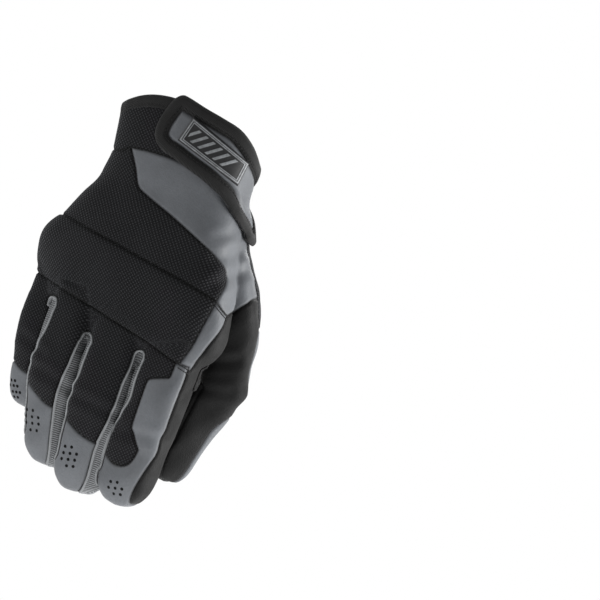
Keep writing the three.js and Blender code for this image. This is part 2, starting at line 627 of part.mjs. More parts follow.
const badgeBar = bar(badgePoints, 0, -far / 2, 0).intersect(strapBar(-strapBorder - gap));
pieces.set("strap_badge", biggest(badgeSkin.intersect(badgeBar)));

// Finish of each piece.
const finishOf = {
  cuff_band: "mesh",
  back_panel: "mesh",
  knuckle_band: "mesh",
  finger_back_panel: "mesh",
  thumb_gusset: "mesh",
  side_panel: "grey",
  side_strip: "grey",
  index_cap: "grey",
  middle_cap: "grey",
  ring_cap: "grey",
  little_cap: "grey",
  thumb_side: "grey",
  wrist_strap: "grey",
  middle_index_sidewall: "knit",
  ring_middle_sidewall: "knit",
  little_ring_sidewall: "knit",
  palm_panel: "leather",
  palm_overlay: "leather",
  thumb_front: "leather",
  thenar_pad: "pad",
  heel_pad: "pad",
  cuff_binding: "binding",
  strap_binding: "binding",
  strap_badge: "badge",
};

function meshOf(name, shape) {
  const made = shape.getMesh();
  const geometry = new THREE.BufferGeometry();
  geometry.setAttribute("position", new THREE.BufferAttribute(made.vertProperties, 3));
  geometry.setIndex(new THREE.BufferAttribute(made.triVerts, 1));
  geometry.computeVertexNormals();
  const mesh = new THREE.Mesh(geometry, new THREE.MeshStandardMaterial({ metalness: 0, ...looks[finishOf[name]] }));
  mesh.name = name;
  return mesh;
}

const gloveGroup = new THREE.Group();
pieces.forEach((shape, name) => gloveGroup.add(meshOf(name, shape)));
export default gloveGroup;
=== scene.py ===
# A right-hand mechanic's work glove in the shape that a hand gives it, held up by its wrist opening.
# Lengths are in millimetres until a mesh is made, which is in metres.
import math

import bpy
import numpy as np
from mathutils import Matrix, Vector
from mathutils.bvhtree import BVHTree
from mathutils.kdtree import KDTree


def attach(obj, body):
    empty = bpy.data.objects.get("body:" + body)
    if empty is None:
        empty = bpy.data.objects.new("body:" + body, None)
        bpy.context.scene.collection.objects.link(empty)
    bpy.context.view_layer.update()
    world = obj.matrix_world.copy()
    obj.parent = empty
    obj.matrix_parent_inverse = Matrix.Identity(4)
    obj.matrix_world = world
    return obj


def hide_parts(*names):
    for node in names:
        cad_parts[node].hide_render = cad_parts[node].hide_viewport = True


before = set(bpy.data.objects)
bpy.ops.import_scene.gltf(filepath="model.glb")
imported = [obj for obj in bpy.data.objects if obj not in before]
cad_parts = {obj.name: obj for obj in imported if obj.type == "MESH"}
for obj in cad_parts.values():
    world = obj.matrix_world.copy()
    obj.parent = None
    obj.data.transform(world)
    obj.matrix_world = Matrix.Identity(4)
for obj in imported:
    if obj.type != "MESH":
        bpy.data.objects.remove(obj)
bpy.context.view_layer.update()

MM = 0.001

# Sizes of the hand, the same as the construction's.
PALM_LENGTH = 140.0
PALM_WIDTH = 120.0
PALM_DEPTH = 44.0
CUFF_WIDTH = 88.0
CUFF_DEPTH = 48.0
HAND_TURN = 24.0
THUMB_WIDTH = 28.0
THUMB_LENGTH = 172.0
THUMB_SPREAD = 68.0
THUMB_ROOT = 0.285
SQUARENESS = 3.2
BACK_SEAM = 0.55
PALM_SEAM = 0.5

# name, x, y, drop, length, width, depth, turn, lean, curl
FINGERS = [
    ("index", 35.2, -13.0, 132.0, 99.0, 33.4, 25.0, 26.0, -2.0, 12.0),
    ("middle", 1.8, -2.0, 136.0, 98.0, 33.0, 25.0, 18.0, 5.0, 14.0),
    ("ring", -30.0, 10.0, 136.0, 90.0, 29.6, 24.0, 27.0, 13.0, 15.0),
    ("little", -48.6, 31.0, 124.0, 75.0, 24.6, 22.0, 22.0, 8.0, 14.0),
]

# along, width, depth, middle x, middle y, half width, half depth, turn, droop
BODY_ROWS = [
    (-0.17, CUFF_WIDTH, CUFF_DEPTH, 0.0, 0.0, 0.505, 0.5, 0.6, 0.0),
    (0.0, CUFF_WIDTH, CUFF_DEPTH, -0.015, 0.0, 0.49, 0.49, 0.6, 0.02),
    (0.24, CUFF_WIDTH, CUFF_DEPTH, -0.01, 0.03, 0.455, 0.46, 0.66, 0.06),
    (0.34, PALM_WIDTH, PALM_DEPTH, 0.012, 0.045, 0.375, 0.5, 0.72, 0.09),
    (0.44, PALM_WIDTH, PALM_DEPTH, -0.003, 0.055, 0.42, 0.52, 0.8, 0.11),
    (0.54, PALM_WIDTH, PALM_DEPTH, -0.018, 0.07, 0.47, 0.52, 0.88, 0.15),
    (0.64, PALM_WIDTH, PALM_DEPTH, -0.03, 0.08, 0.53, 0.5, 0.96, 0.19),
    (0.74, PALM_WIDTH, PALM_DEPTH, -0.02, 0.09, 0.55, 0.47, 1.0, 0.23),
    (0.84, PALM_WIDTH, PALM_DEPTH, 0.002, 0.09, 0.54, 0.42, 1.0, 0.26),
    (0.92, PALM_WIDTH, PALM_DEPTH, 0.003, 0.09, 0.52, 0.37, 1.0, 0.28),
    (0.98, PALM_WIDTH, PALM_DEPTH, -0.01, 0.09, 0.48, 0.27, 1.0, 0.28),
    (1.045, PALM_WIDTH, PALM_DEPTH, -0.02, 0.09, 0.38, 0.14, 1.0, 0.28),
]

# along, wide, deep, lean, curl
FINGER_ROWS = [
    (-0.22, 0.85, 0.85, 0.0, -0.02),
    (0.0, 0.98, 1.0, 0.0, 0.0),
    (0.35, 1.0, 1.0, 0.1, 0.12),
    (0.62, 0.98, 0.95, 0.45, 0.45),
    (0.82, 0.95, 0.88, 0.73, 0.74),
    (1.0, 0.93, 0.84, 1.0, 1.0),
]
TIP_START = 0.8  # share of a finger's length where its tip begins to round off
TIP_POWER = 2.5

# along, out, back, wide, deep, twist
THUMB_ROWS = [
    (0.0, 0.46, 0.14, 0.95, 0.9, 14.0),
    (0.13, 0.58, 0.2, 1.15, 1.15, 14.0),
    (0.27, 0.79, 0.28, 1.18, 1.25, 12.0),
    (0.39, 0.91, 0.36, 1.12, 1.15, 8.0),
    (0.51, 0.97, 0.44, 1.02, 1.05, 2.0),
    (0.65, 1.01, 0.51, 1.1, 1.0, -8.0),
    (0.79, 0.925, 0.58, 0.97, 0.9, -24.0),
    (0.89, 0.87, 0.64, 0.93, 0.86, -30.0),
    (1.0, 0.86, 0.71, 0.9, 0.84, -30.0),
]
THUMB_TIP_START = 0.82
THUMB_SEAM = 0.1

# While the form is made, the fingers stand apart, so that the gaps between them stay open.
# name: how far along the knuckles, and the height where it begins
SPREADS = {
    "index": (4.5, -143.0), "middle": (0.0, -143.0), "ring": (-4.5, -143.0), "little": (-9.0, -130.0),
}
SPREAD_RUN = 12.0
SPREAD_TURN = math.radians(22.0)
VOXEL = 1.01
THUMB_NUMBER = len(FINGERS)
BODY_REACH = 12.0  # the body's cells reach this far past its sides


# Sections of the limbs.

def between(rows, count=240):
    """Rows on smooth curves through the given rows."""
    table = np.array(rows, float)
    ends = np.vstack([2 * table[0] - table[1], table, 2 * table[-1] - table[-2]])
    spots = np.linspace(0, len(table) - 1 - 1e-9, count)
    first = spots.astype(int)
    t = (spots - first)[:, None]
    a, b, c, d = (ends[first + k] for k in range(4))
    return 0.5 * (2 * b + (c - a) * t + (2 * a - 5 * b + 4 * c - d) * t**2 + (3 * b - a - 3 * c + d) * t**3)


def tip_share(along, start, power=TIP_POWER):
    """How a limb's width goes round its tip, from 1 down to 0."""
    run = np.clip((along - start) / (1 - start), 0, 1)
    return np.clip(1 - run**power, 0, 1) ** (1 / power)


class Limb:
    """A stack of level sections: z, x, y, half width, half depth, turn and droop."""

    def __init__(self, table):
        self.table = table[np.argsort(table[:, 0])]

    def section(self, z):
        return [np.interp(z, self.table[:, 0], self.table[:, k]) for k in range(1, 7)]

    def local(self, points):
        """Wide and deep coordinates of points, with the half sizes there."""
        x, y, half_width, half_depth, turn, droop = self.section(points[:, 2])
        dx, dy = points[:, 0] - x, points[:, 1] - y
        wide = dx * np.cos(turn) - dy * np.sin(turn)
        hang = droop * np.clip(-wide / half_width, 0, 1.05) ** 2
        deep = dx * np.sin(turn) + dy * np.cos(turn) - hang
        return wide, deep, half_width, half_depth

    def distance(self, points):
        """Rough distance of points from the limb's surface, negative inside."""
        wide, deep, half_width, half_depth = self.local(points)
        share = (np.abs(wide / half_width) ** SQUARENESS + np.abs(deep / half_depth) ** SQUARENESS)
        flat = (share ** (1 / SQUARENESS) - 1) * np.minimum(half_width, half_depth)
        low, high = self.table[0, 0], self.table[-1, 0]
        return np.maximum(flat, np.maximum(low - points[:, 2], points[:, 2] - high))

    def ring(self, row, sides, grow):
        z, x, y, half_width, half_depth, turn, droop = row
        angle = 2 * math.pi * (np.arange(sides) + 0.5) / sides
        c, s = np.cos(angle), np.sin(angle)
        wide = np.sign(c) * np.abs(c) ** (2 / SQUARENESS) * (half_width + grow)
        deep = np.sign(s) * np.abs(s) ** (2 / SQUARENESS) * (half_depth + grow)
        deep = deep + droop * np.clip(-wide / max(half_width, 0.1), 0, 1.05) ** 2
        return np.column_stack([
            x + wide * math.cos(turn) + deep * math.sin(turn),
            y - wide * math.sin(turn) + deep * math.cos(turn),
            np.full(sides, z),
        ])


def body_limb():
    rows = between(BODY_ROWS)
    along, width, depth, mid_x, mid_y, half_width, half_depth, turn, droop = rows.T
    turn = np.radians(turn * HAND_TURN)
    return Limb(np.column_stack([
        -along * PALM_LENGTH, mid_x * width, mid_y * depth, half_width * width, half_depth * depth,
        turn, droop * depth,
    ]))


def finger_limb(finger):
    _, x, y, drop, length, width, depth, turn, lean, curl = finger
    along, wide, deep, lean_share, curl_share = between(FINGER_ROWS).T
    tip = tip_share(along, TIP_START)
    flat = np.zeros_like(along)
    return Limb(np.column_stack([
        -drop - along * length, x + lean_share * lean, y + curl_share * curl,
        np.maximum(wide * tip * width / 2, 0.3), np.maximum(deep * tip * depth / 2, 0.3),
        flat + math.radians(turn), flat,
    ]))


def thumb_limb():
    along, out, back, wide, deep, twist = between(THUMB_ROWS).T
    tip = tip_share(along, THUMB_TIP_START)
    return Limb(np.column_stack([
        -THUMB_ROOT * PALM_LENGTH - along * THUMB_LENGTH, out * THUMB_SPREAD, back * PALM_DEPTH,
        np.maximum(wide * tip * THUMB_WIDTH / 2, 0.3), np.maximum(deep * tip * THUMB_WIDTH / 2, 0.3),
        np.radians(twist), np.zeros_like(along),
    ]))


BODY = body_limb()
THUMB = thumb_limb()
FINGER_LIMBS = {finger[0]: finger_limb(finger) for finger in FINGERS}
FINGER_NAMES = [finger[0] for finger in FINGERS]
FINGER_SIZES = {finger[0]: finger for finger in FINGERS}


def smoothstep(low, high, value):
    share = np.clip((value - low) / (high - low), 0, 1)
    return share * share * (3 - 2 * share)


def spread_of(name, z):
    """How far a finger stands out sideways at a height while the form is made."""
    reach, start = SPREADS[name]
    shift = reach * smoothstep(0, SPREAD_RUN, start - z)
    return np.column_stack([shift * math.cos(SPREAD_TURN), -shift * math.sin(SPREAD_TURN), 0 * shift])


# Surfaces: points, triangles and named values at the points.

class Surface:
    def __init__(self, points, faces, values):
        self.points = points
        self.faces = faces
        self.values = values

    def compact(self):
        used = np.unique(self.faces)
        number = np.full(len(self.points), -1)
        number[used] = np.arange(len(used))
        values = {name: value[used] for name, value in self.values.items()}
        return Surface(self.points[used], number[self.faces], values)

    def with_points(self, points):
        return Surface(points, self.faces, dict(self.values))

    def normals(self):
        a, b, c = (self.points[self.faces[:, k]] for k in range(3))
        across = np.cross(b - a, c - a)
        total = np.zeros_like(self.points)
        for k in range(3):
            np.add.at(total, self.faces[:, k], across)
        return total / np.maximum(np.linalg.norm(total, axis=1), 1e-9)[:, None]

    def edges(self):
        """Edges, how many faces each has, and the edge numbers of the faces."""
        pairs = np.sort(self.faces[:, [[0, 1], [1, 2], [2, 0]]].reshape(-1, 2), axis=1)
        return np.unique(pairs, axis=0, return_inverse=True, return_counts=True)

    def border(self):
        edges, _, counts = self.edges()
        return edges[counts == 1]

    def part(self, chosen):
        """The surface of some of its faces."""
        return Surface(self.points, self.faces[chosen], self.values).compact()


def clip(surface, field):
    """The part of a surface where a field is negative, cut along its zero line."""
    field = np.where(np.abs(field) < 1e-3, 1e-3, field)
    inside = field[surface.faces] < 0
    count = inside.sum(axis=1)
    whole = surface.faces[count == 3]
    turned = []
    for many, odd in ((1, np.argmax), (2, np.argmin)):
        faces = surface.faces[count == many]
        first = odd(inside[count == many], axis=1)
        turned.append(faces[np.arange(len(faces))[:, None], (first[:, None] + np.arange(3)) % 3])
    one, two = turned
    cuts = np.vstack([one[:, [0, 1]], one[:, [0, 2]], two[:, [0, 1]], two[:, [0, 2]]])
    pairs, number = np.unique(np.sort(cuts, axis=1), axis=0, return_inverse=True)
    number = number.reshape(-1) + len(surface.points)
    ab1, ac1 = number[:len(one)], number[len(one):2 * len(one)]
    ab2, ac2 = number[2 * len(one):2 * len(one) + len(two)], number[2 * len(one) + len(two):]
    share = field[pairs[:, 0]] / (field[pairs[:, 0]] - field[pairs[:, 1]])

    def mixed(value):
        weight = share.reshape((-1,) + (1,) * (value.ndim - 1))
        return np.concatenate([value, value[pairs[:, 0]] * (1 - weight) + value[pairs[:, 1]] * weight])

    faces = np.vstack([
        whole,
        np.column_stack([one[:, 0], ab1, ac1]),
        np.column_stack([ab2, two[:, 1], two[:, 2]]),
        np.column_stack([ab2, two[:, 2], ac2]),
    ]).astype(int)
    values = {name: mixed(value) for name, value in surface.values.items()}
    return Surface(mixed(surface.points), faces, values).compact()


def parts_of(surface):
    """Number of the connected part that each face is in."""
    label = np.arange(len(surface.points))
    while True:
        low = label[surface.faces].min(axis=1)
        after = label.copy()
        for k in range(3):
            np.minimum.at(after, surface.faces[:, k], low)
        after = after[after]
        if (after == label).all():
            return label[surface.faces[:, 0]]
        label = after


def main_part(surface):
    """The largest connected part, and the rest."""
    if not len(surface.faces):
        return surface, surface
    part = parts_of(surface)
    names, counts = np.unique(part, return_counts=True)
    chosen = part == names[np.argmax(counts)]
    return surface.part(chosen), surface.part(~chosen)


def large_parts(surface, least=60, share=0.04):
    """The connected parts that are large enough to be sewn in, and the rest."""
    if not len(surface.faces):
        return surface, surface
    _, number, counts = np.unique(parts_of(surface), return_inverse=True, return_counts=True)
    kept = (counts >= max(least, share * counts.max()))[number.reshape(-1)]
    return surface.part(kept), surface.part(~kept)


def welded(surface):
    """The surface with points at the same place made one."""
    spots = np.round(surface.points, 4)
    _, first, number = np.unique(spots, axis=0, return_index=True, return_inverse=True)
    faces = number.reshape(-1)[surface.faces]
    whole = (faces[:, 0] != faces[:, 1]) & (faces[:, 1] != faces[:, 2]) & (faces[:, 2] != faces[:, 0])
    values = {name: value[first] for name, value in surface.values.items()}
    return Surface(surface.points[first], faces[whole], values)


def joined(first, second):
    if not len(second.faces):
        return first
    points = np.vstack([first.points, second.points])
    faces = np.vstack([first.faces, second.faces + len(first.points)])
    values = {name: np.concatenate([first.values[name], second.values[name]]) for name in first.values}
    return Surface(points, faces, values)


def edge_distance(surface):
    """Distance of each point from the border of its surface."""
    spots = surface.border()
    tree = KDTree(2 * len(spots))
    ends = surface.points[spots]
    for number, spot in enumerate(np.vstack([ends[:, 0], ends.mean(axis=1)])):
        tree.insert(spot, number)
    tree.balance()
    return np.array([tree.find(point)[2] for point in surface.points])


# Outlines in the front view, as shares of the palm's width and length.

FAR_UP = 400.0


def curve_through(points, step=1.5):
    """Smooth open line through points, at even steps."""
    points = np.array(points, float)
    if len(points) == 2:
        return points
    count = max(8, int(np.linalg.norm(np.diff(points, axis=0), axis=1).sum() / step))
    return between(points, count)


def on_palm(points):
    return [(u * PALM_WIDTH, -v * PALM_LENGTH) for u, v in points]


def trace(runs):
    """Closed outline of runs that meet at corners."""
    return np.vstack([curve_through(on_palm(run))[:-1] for run in runs])


def outline_field(outline, x, z):
    """Signed distance from a closed outline, negative inside."""
    nearest = np.full(len(x), np.inf)
    inside = np.zeros(len(x), bool)
    for (x0, z0), (x1, z1) in zip(outline, np.roll(outline, -1, axis=0)):
        dx, dz = x1 - x0, z1 - z0
        share = np.clip(((x - x0) * dx + (z - z0) * dz) / max(dx * dx + dz * dz, 1e-12), 0, 1)
        nearest = np.minimum(nearest, (x - x0 - share * dx) ** 2 + (z - z0 - share * dz) ** 2)
        if z0 != z1:
            crossed = (z0 > z) != (z1 > z)
            inside ^= crossed & (x < x0 + (z - z0) * dx / dz)
    return np.where(inside, -1, 1) * np.sqrt(nearest)


def line_field(run, x, z):
    """Field that is negative above a line across the glove."""
    line = curve_through(on_palm(run))
    closed = np.vstack([line, [[line[-1, 0], FAR_UP], [line[0, 0], FAR_UP]]])
    return outline_field(closed, x, z)


SEAM_A = [(-0.75, 0.53), (-0.48, 0.562), (0.216, 0.655), (0.41, 0.69)]
SEAM_B = [(-0.75, 0.8), (-0.5, 0.84), (-0.25, 0.88), (0.08, 0.935), (0.34, 0.99)]
SIDE_PANEL_LEFT = [
    (0.41, 0.69), (0.422, 0.61), (0.415, 0.565), (0.357, 0.522), (0.226, 0.472), (0.065, 0.416),
    (-0.094, 0.367), (-0.155, 0.34), (-0.2, 0.27), (-0.255, 0.198),
]
SIDE_PANEL_TOP = [(-0.255, 0.198), (-0.14, 0.188), (0.1, 0.19), (0.3, 0.22), (0.8, 0.25)]
THUMB_TOP = [(0.8, 0.56), (0.6, 0.612), (0.545, 0.66), (0.483, 0.73)]
STRIP_LEFT = [(0.41, 0.69), (0.4, 0.75), (0.385, 0.83), (0.37, 0.91), (0.34, 0.99)]
STRIP_RIGHT = [(0.403, 1.0), (0.423, 0.944), (0.473, 0.806), (0.483, 0.73)]
STRIP_TOP = [(0.483, 0.73), (0.41, 0.69)]
CUFF_LOWER = [
    (-0.9, 0.245), (-0.35, 0.226), (-0.255, 0.198), (-0.14, 0.188), (0.1, 0.19), (0.9, 0.24),
]
GUSSET_INNER = [
    (0.8, 0.8), (0.63, 0.73), (0.55, 0.63), (0.46, 0.54), (0.37, 0.46), (0.3, 0.39), (0.25, 0.3),
    (0.22, 0.22),
]
THUMB_SIDE_INNER = [(0.66, 0.9), (0.52, 0.66), (0.42, 0.56), (0.3, 0.44)]

OVERLAY = [
    [(0.47, 0.78), (0.475, 0.9), (0.46, 1.08)],
    [(0.46, 1.08), (0.22, 1.09)],
    [(0.22, 1.09), (0.185, 1.03), (0.145, 0.99), (0.1, 1.03), (0.07, 1.08)],
    [(0.07, 1.08), (-0.06, 1.07)],
    [(-0.06, 1.07), (-0.1, 1.02), (-0.145, 0.995), (-0.185, 1.02), (-0.21, 1.06)],
    [(-0.21, 1.06), (-0.3, 1.05)],
    [(-0.3, 1.05), (-0.335, 0.98), (-0.385, 0.925), (-0.42, 0.95), (-0.44, 1.0)],
    [(-0.44, 1.0), (-0.47, 0.97)],
    [
        (-0.47, 0.97), (-0.48, 0.87), (-0.5, 0.8), (-0.51, 0.7), (-0.49, 0.58), (-0.44, 0.38),
        (-0.405, 0.27),
    ],
    [(-0.405, 0.27), (-0.2, 0.24), (-0.17, 0.27)],
    [(-0.17, 0.27), (-0.17, 0.48), (-0.175, 0.55), (-0.13, 0.62), (-0.06, 0.67)],
    [(-0.06, 0.67), (0.0, 0.67), (-0.055, 0.615), (-0.115, 0.55), (-0.12, 0.47), (-0.1, 0.28)],
    [(-0.1, 0.28), (-0.05, 0.265), (0.17, 0.28), (0.22, 0.3)],
    [(0.22, 0.3), (0.28, 0.42), (0.36, 0.57), (0.41, 0.7), (0.47, 0.78)],
]
SLIT = [
    [(-0.7, 0.75), (-0.2, 0.73)],
    [(-0.2, 0.73), (-0.175, 0.718), (-0.2, 0.706)],
    [(-0.2, 0.706), (-0.7, 0.7)],
    [(-0.7, 0.7), (-0.7, 0.75)],
]
THENAR_PAD = [
    [(0.0, 0.73), (0.2, 0.8), (0.35, 0.8), (0.4, 0.74)],
    [(0.4, 0.74), (0.34, 0.6), (0.26, 0.46), (0.2, 0.35)],
    [(0.2, 0.35), (0.15, 0.325), (-0.04, 0.305)],
    [(-0.04, 0.305), (-0.07, 0.45), (-0.075, 0.54), (-0.02, 0.62), (0.03, 0.67), (0.0, 0.73)],
]
HEEL_PAD = [
    [(-0.47, 0.67), (-0.44, 0.55), (-0.39, 0.4), (-0.36, 0.31)],
    [(-0.36, 0.31), (-0.22, 0.285)],
    [(-0.22, 0.285), (-0.22, 0.45), (-0.225, 0.55), (-0.18, 0.64), (-0.1, 0.7)],
    [(-0.1, 0.7), (-0.3, 0.68), (-0.47, 0.67)],
]
STRAP = [
    [
        (-0.1325, 0.15), (-0.153, 0.127), (-0.166, 0.097), (-0.167, 0.062), (-0.159, 0.02),
        (-0.141, -0.033), (-0.122, -0.066), (-0.09, -0.088), (-0.05, -0.087), (0.045, -0.068),
        (0.143, -0.052), (0.236, -0.032), (0.307, 0.012), (0.358, 0.07), (0.38, 0.106), (0.4, 0.15),
    ],
    [(0.4, 0.15), (0.7, 0.25)],
    [(0.7, 0.25), (0.7, 0.44)],
    [
        (0.7, 0.44), (0.46, 0.425), (0.395, 0.378), (0.325, 0.33), (0.25, 0.277), (0.2, 0.256),
        (0.137, 0.232), (0.053, 0.209), (-0.035, 0.184), (-0.085, 0.174), (-0.1325, 0.15),
    ],
]
STRAP_SIDE = [(-0.31, 0.02), (0.28, 0.15)]
BADGE = [(-0.004, -0.011), (0.325, 0.092), (0.31, 0.2), (-0.041, 0.105)]

# Cap lines: s is a share of a finger's half width and t of its length.
CAP_LINES = {
    "index": [
        [(1.6, 0.065), (0.23, 0.065)],
        [(0.23, 0.065), (0.2, 0.16)],
        [(0.2, 0.16), (-0.42, 0.205), (-0.52, 0.235), (-0.53, 0.28)],
        [(-0.53, 0.28), (-0.46, 0.53)],
        [(-0.46, 0.53), (0.06, 0.632)],
        [(0.06, 0.632), (0.0, 0.7), (-0.13, 0.745), (-0.4, 0.768), (-0.7, 0.765), (-1.0, 0.735),
         (-1.3, 0.69)],
    ],
    "middle": [[(1.3, 0.65), (0.54, 0.66), (0.1, 0.658), (-0.32, 0.643), (-0.72, 0.615), (-1.3, 0.56)]],
    "ring": [[(1.3, 0.58), (0.27, 0.598), (-0.05, 0.599), (-0.34, 0.587), (-0.66, 0.559), (-1.3, 0.48)]],
    "little": [[(1.3, 0.74), (0.2, 0.735), (-0.13, 0.72), (-0.53, 0.705), (-0.9, 0.675), (-1.3, 0.65)]],
}

# left finger, right finger, u and v of the loop's top
WEBS = {
    "middle_index_sidewall": ("middle", "index", 0.135, 0.992),
    "ring_middle_sidewall": ("ring", "middle", -0.148, 1.0),
    "little_ring_sidewall": ("little", "ring", -0.383, 0.908),
}
LOOP_WIDTH = 5.6
# Front outlines of the loops, in millimetres: up the left side and down the right one
LOOPS = {
    "middle_index_sidewall": [
        (9.6, -200), (11.6, -185), (12.7, -172), (12.4, -161), (13.3, -151), (13.6, -144), (14.6, -140),
        (16.9, -138.6), (19.3, -139.6), (20.7, -143), (20.5, -149), (20.2, -158), (20.4, -169),
        (17.8, -183), (14.8, -200),
    ],
    "ring_middle_sidewall": [
        (-22.2, -189), (-22.1, -177), (-22.6, -166), (-22.3, -155), (-21.2, -146), (-19.3, -141.6),
        (-16.8, -139.9), (-14.2, -141), (-12.7, -144.5), (-13.1, -150), (-13.3, -166), (-14.4, -174),
        (-14.8, -184), (-13.6, -192),
    ],
    "little_ring_sidewall": [
        (-46.5, -175), (-46.2, -155), (-46.0, -143), (-46.6, -136), (-47.2, -130.6), (-45.8, -127.6),
        (-44.4, -126.8), (-42.4, -127.8), (-41.1, -131), (-41.3, -136), (-41.8, -142), (-42.6, -148),
        (-43.6, -154), (-44.3, -162), (-44.6, -175),
    ],
}

RIM_TOP = 11.4
RIM_ARCH = 10.0
RIM_ARCH_THUMB = 18.0
RIM_SLOPE = math.radians(14.0)
RIM_FALL = 5.5  # how much lower the rim lies under the strap
RIM_FALL_RUN = (-36.0, 8.0)  # across the wrist, where it comes down
RIM_LIFT = 1.0


def rim_field(points):
    """Positive above the rim of the cuff."""
    share = np.clip(points[:, 0] / (CUFF_WIDTH / 2), -1.6, 1.6)
    arch = np.where(share > 0, RIM_ARCH_THUMB, RIM_ARCH) * share**2
    sloped = (points[:, 1] + CUFF_DEPTH / 2) * math.sin(RIM_SLOPE)
    fall = RIM_FALL * smoothstep(*RIM_FALL_RUN, points[:, 0]) - RIM_LIFT
    return sloped + (points[:, 2] - RIM_TOP + fall) * math.cos(RIM_SLOPE) + arch


# The form of the glove.

def deselect():
    bpy.ops.object.select_all(action="DESELECT")


def object_of(name, points, faces):
    """Mesh object from points in millimetres."""
    mesh = bpy.data.meshes.new(name)
    mesh.from_pydata((np.asarray(points) * MM).tolist(), [], [list(map(int, face)) for face in faces])
    mesh.update()
    made = bpy.data.objects.new(name, mesh)
    bpy.context.scene.collection.objects.link(made)
    return made


def tube_faces(rings, sides, base=0):
    """Faces of a tube through rings of points, with its two ends."""
    faces = []
    for ring in range(rings - 1):
        first = base + ring * sides
        for side in range(sides):
            here, after = first + side, first + (side + 1) % sides
            faces.append((here, after, after + sides, here + sides))
    last = base + (rings - 1) * sides
    return faces + [tuple(range(base, base + sides))[::-1], tuple(range(last, last + sides))]


def grid_corners(rows, columns):
    """Numbers of the four corners of each cell in a grid of points."""
    number = np.arange(rows * columns).reshape(rows, columns)
    return number[:-1, :-1], number[:-1, 1:], number[1:, 1:], number[1:, :-1]


def tube(name, rings):
    """Closed tube through rings of points."""
    return object_of(name, np.vstack(rings), tube_faces(len(rings), len(rings[0])))


def apply_modifier(made, kind, **settings):
    modifier = made.modifiers.new(kind.title(), kind)
    for key, value in settings.items():
        setattr(modifier, key, value)
    deselect()
    made.select_set(True)
    bpy.context.view_layer.objects.active = made
    bpy.ops.object.modifier_apply(modifier=modifier.name)


def triangles_of(made):
    mesh = made.data
    mesh.calc_loop_triangles()
    points = np.empty(3 * len(mesh.vertices))
    mesh.vertices.foreach_get("co", points)
    faces = np.empty(3 * len(mesh.loop_triangles), int)
    mesh.loop_triangles.foreach_get("vertices", faces)
    return points.reshape(-1, 3) / MM, faces.reshape(-1, 3)


def heel_bulge(height):
    """How far the little-finger side of the hand swells."""
    return 0.6 + 2.8 * math.exp(-((height + 98) / 26) ** 2)


def make_form():
    """The glove's outer surface in one piece, with each point's distances from the fingers and thumb."""
    grow = 0.9
    tubes = []
    for name, limb, sides in [("body", BODY, 96), ("thumb", THUMB, 64)] + [
        (name, FINGER_LIMBS[name], 64) for name in FINGER_NAMES
    ]:
        rows = limb.table[::3]
        rings = []
        for row in rows:
            ring = limb.ring(row, sides, grow * min(1, row[3] / 4))
            if name == "body":
                wide = limb.local(ring)[0]
                ring[:, 0] -= heel_bulge(row[0]) * smoothstep(0.2, 0.9, -wide / row[3])
            if name in SPREADS:
                ring = ring + spread_of(name, ring[:, 2])
            rings.append(ring)
        tubes.append(tube(name, rings))
    deselect()
    for made in tubes:
        made.select_set(True)
    form = tubes[0]
    bpy.context.view_layer.objects.active = form
    bpy.ops.object.join()
    form.data.remesh_voxel_size = VOXEL * MM
    form.data.remesh_voxel_adaptivity = 0
    bpy.ops.object.voxel_remesh()
    apply_modifier(form, "SMOOTH", factor=0.5, iterations=12)
    points, faces = triangles_of(form)
    bpy.data.objects.remove(form)
    distances = np.stack([
        FINGER_LIMBS[name].distance(points - spread_of(name, points[:, 2])) for name in FINGER_NAMES
    ])
    finger = distances.argmin(axis=0)
    for number, name in enumerate(FINGER_NAMES):
        chosen = finger == number
        points[chosen] -= spread_of(name, points[chosen, 2])
    near = [FINGER_LIMBS[name].distance(points) for name in FINGER_NAMES] + [THUMB.distance(points)]
    return Surface(points, faces, {"near": np.column_stack(near)})


# The shape of the glove's cells, as fields that are negative inside, worked out on the smooth form.

# Where the body's back ends and its palm side begins, as shares of its half depth.
BACK_LIMIT = 0.35
PALM_LEFT, PALM_RIGHT = 0.75, 0.3
# Seams beside a finger's back: shares of its half width, and where along it they pull in.
SEAM_OUT, SEAM_PULL = 0.94, 0.36
SEAM_RUN, RING_SEAM_RUN = (0.4, 0.72), (0.15, 0.6)
LEFT_SEAM, LEFT_SEAM_TIP = 0.87, 0.6
# The index finger's outer seam: millimetres from its middle at a share of its length, and its turn.
INDEX_SEAM, INDEX_SEAM_ALONG, INDEX_SEAM_TURN = 15.6, 0.69, 16
# Seams of the walls between the fingers, and how far the walls' tops lie below the webs.
WALL_SEAM, WALL_SEAM_PULL, WALL_SEAM_RUN = 1.4, 1.05, (0.6, 0.78)
WALL_TOP_DROP = 6


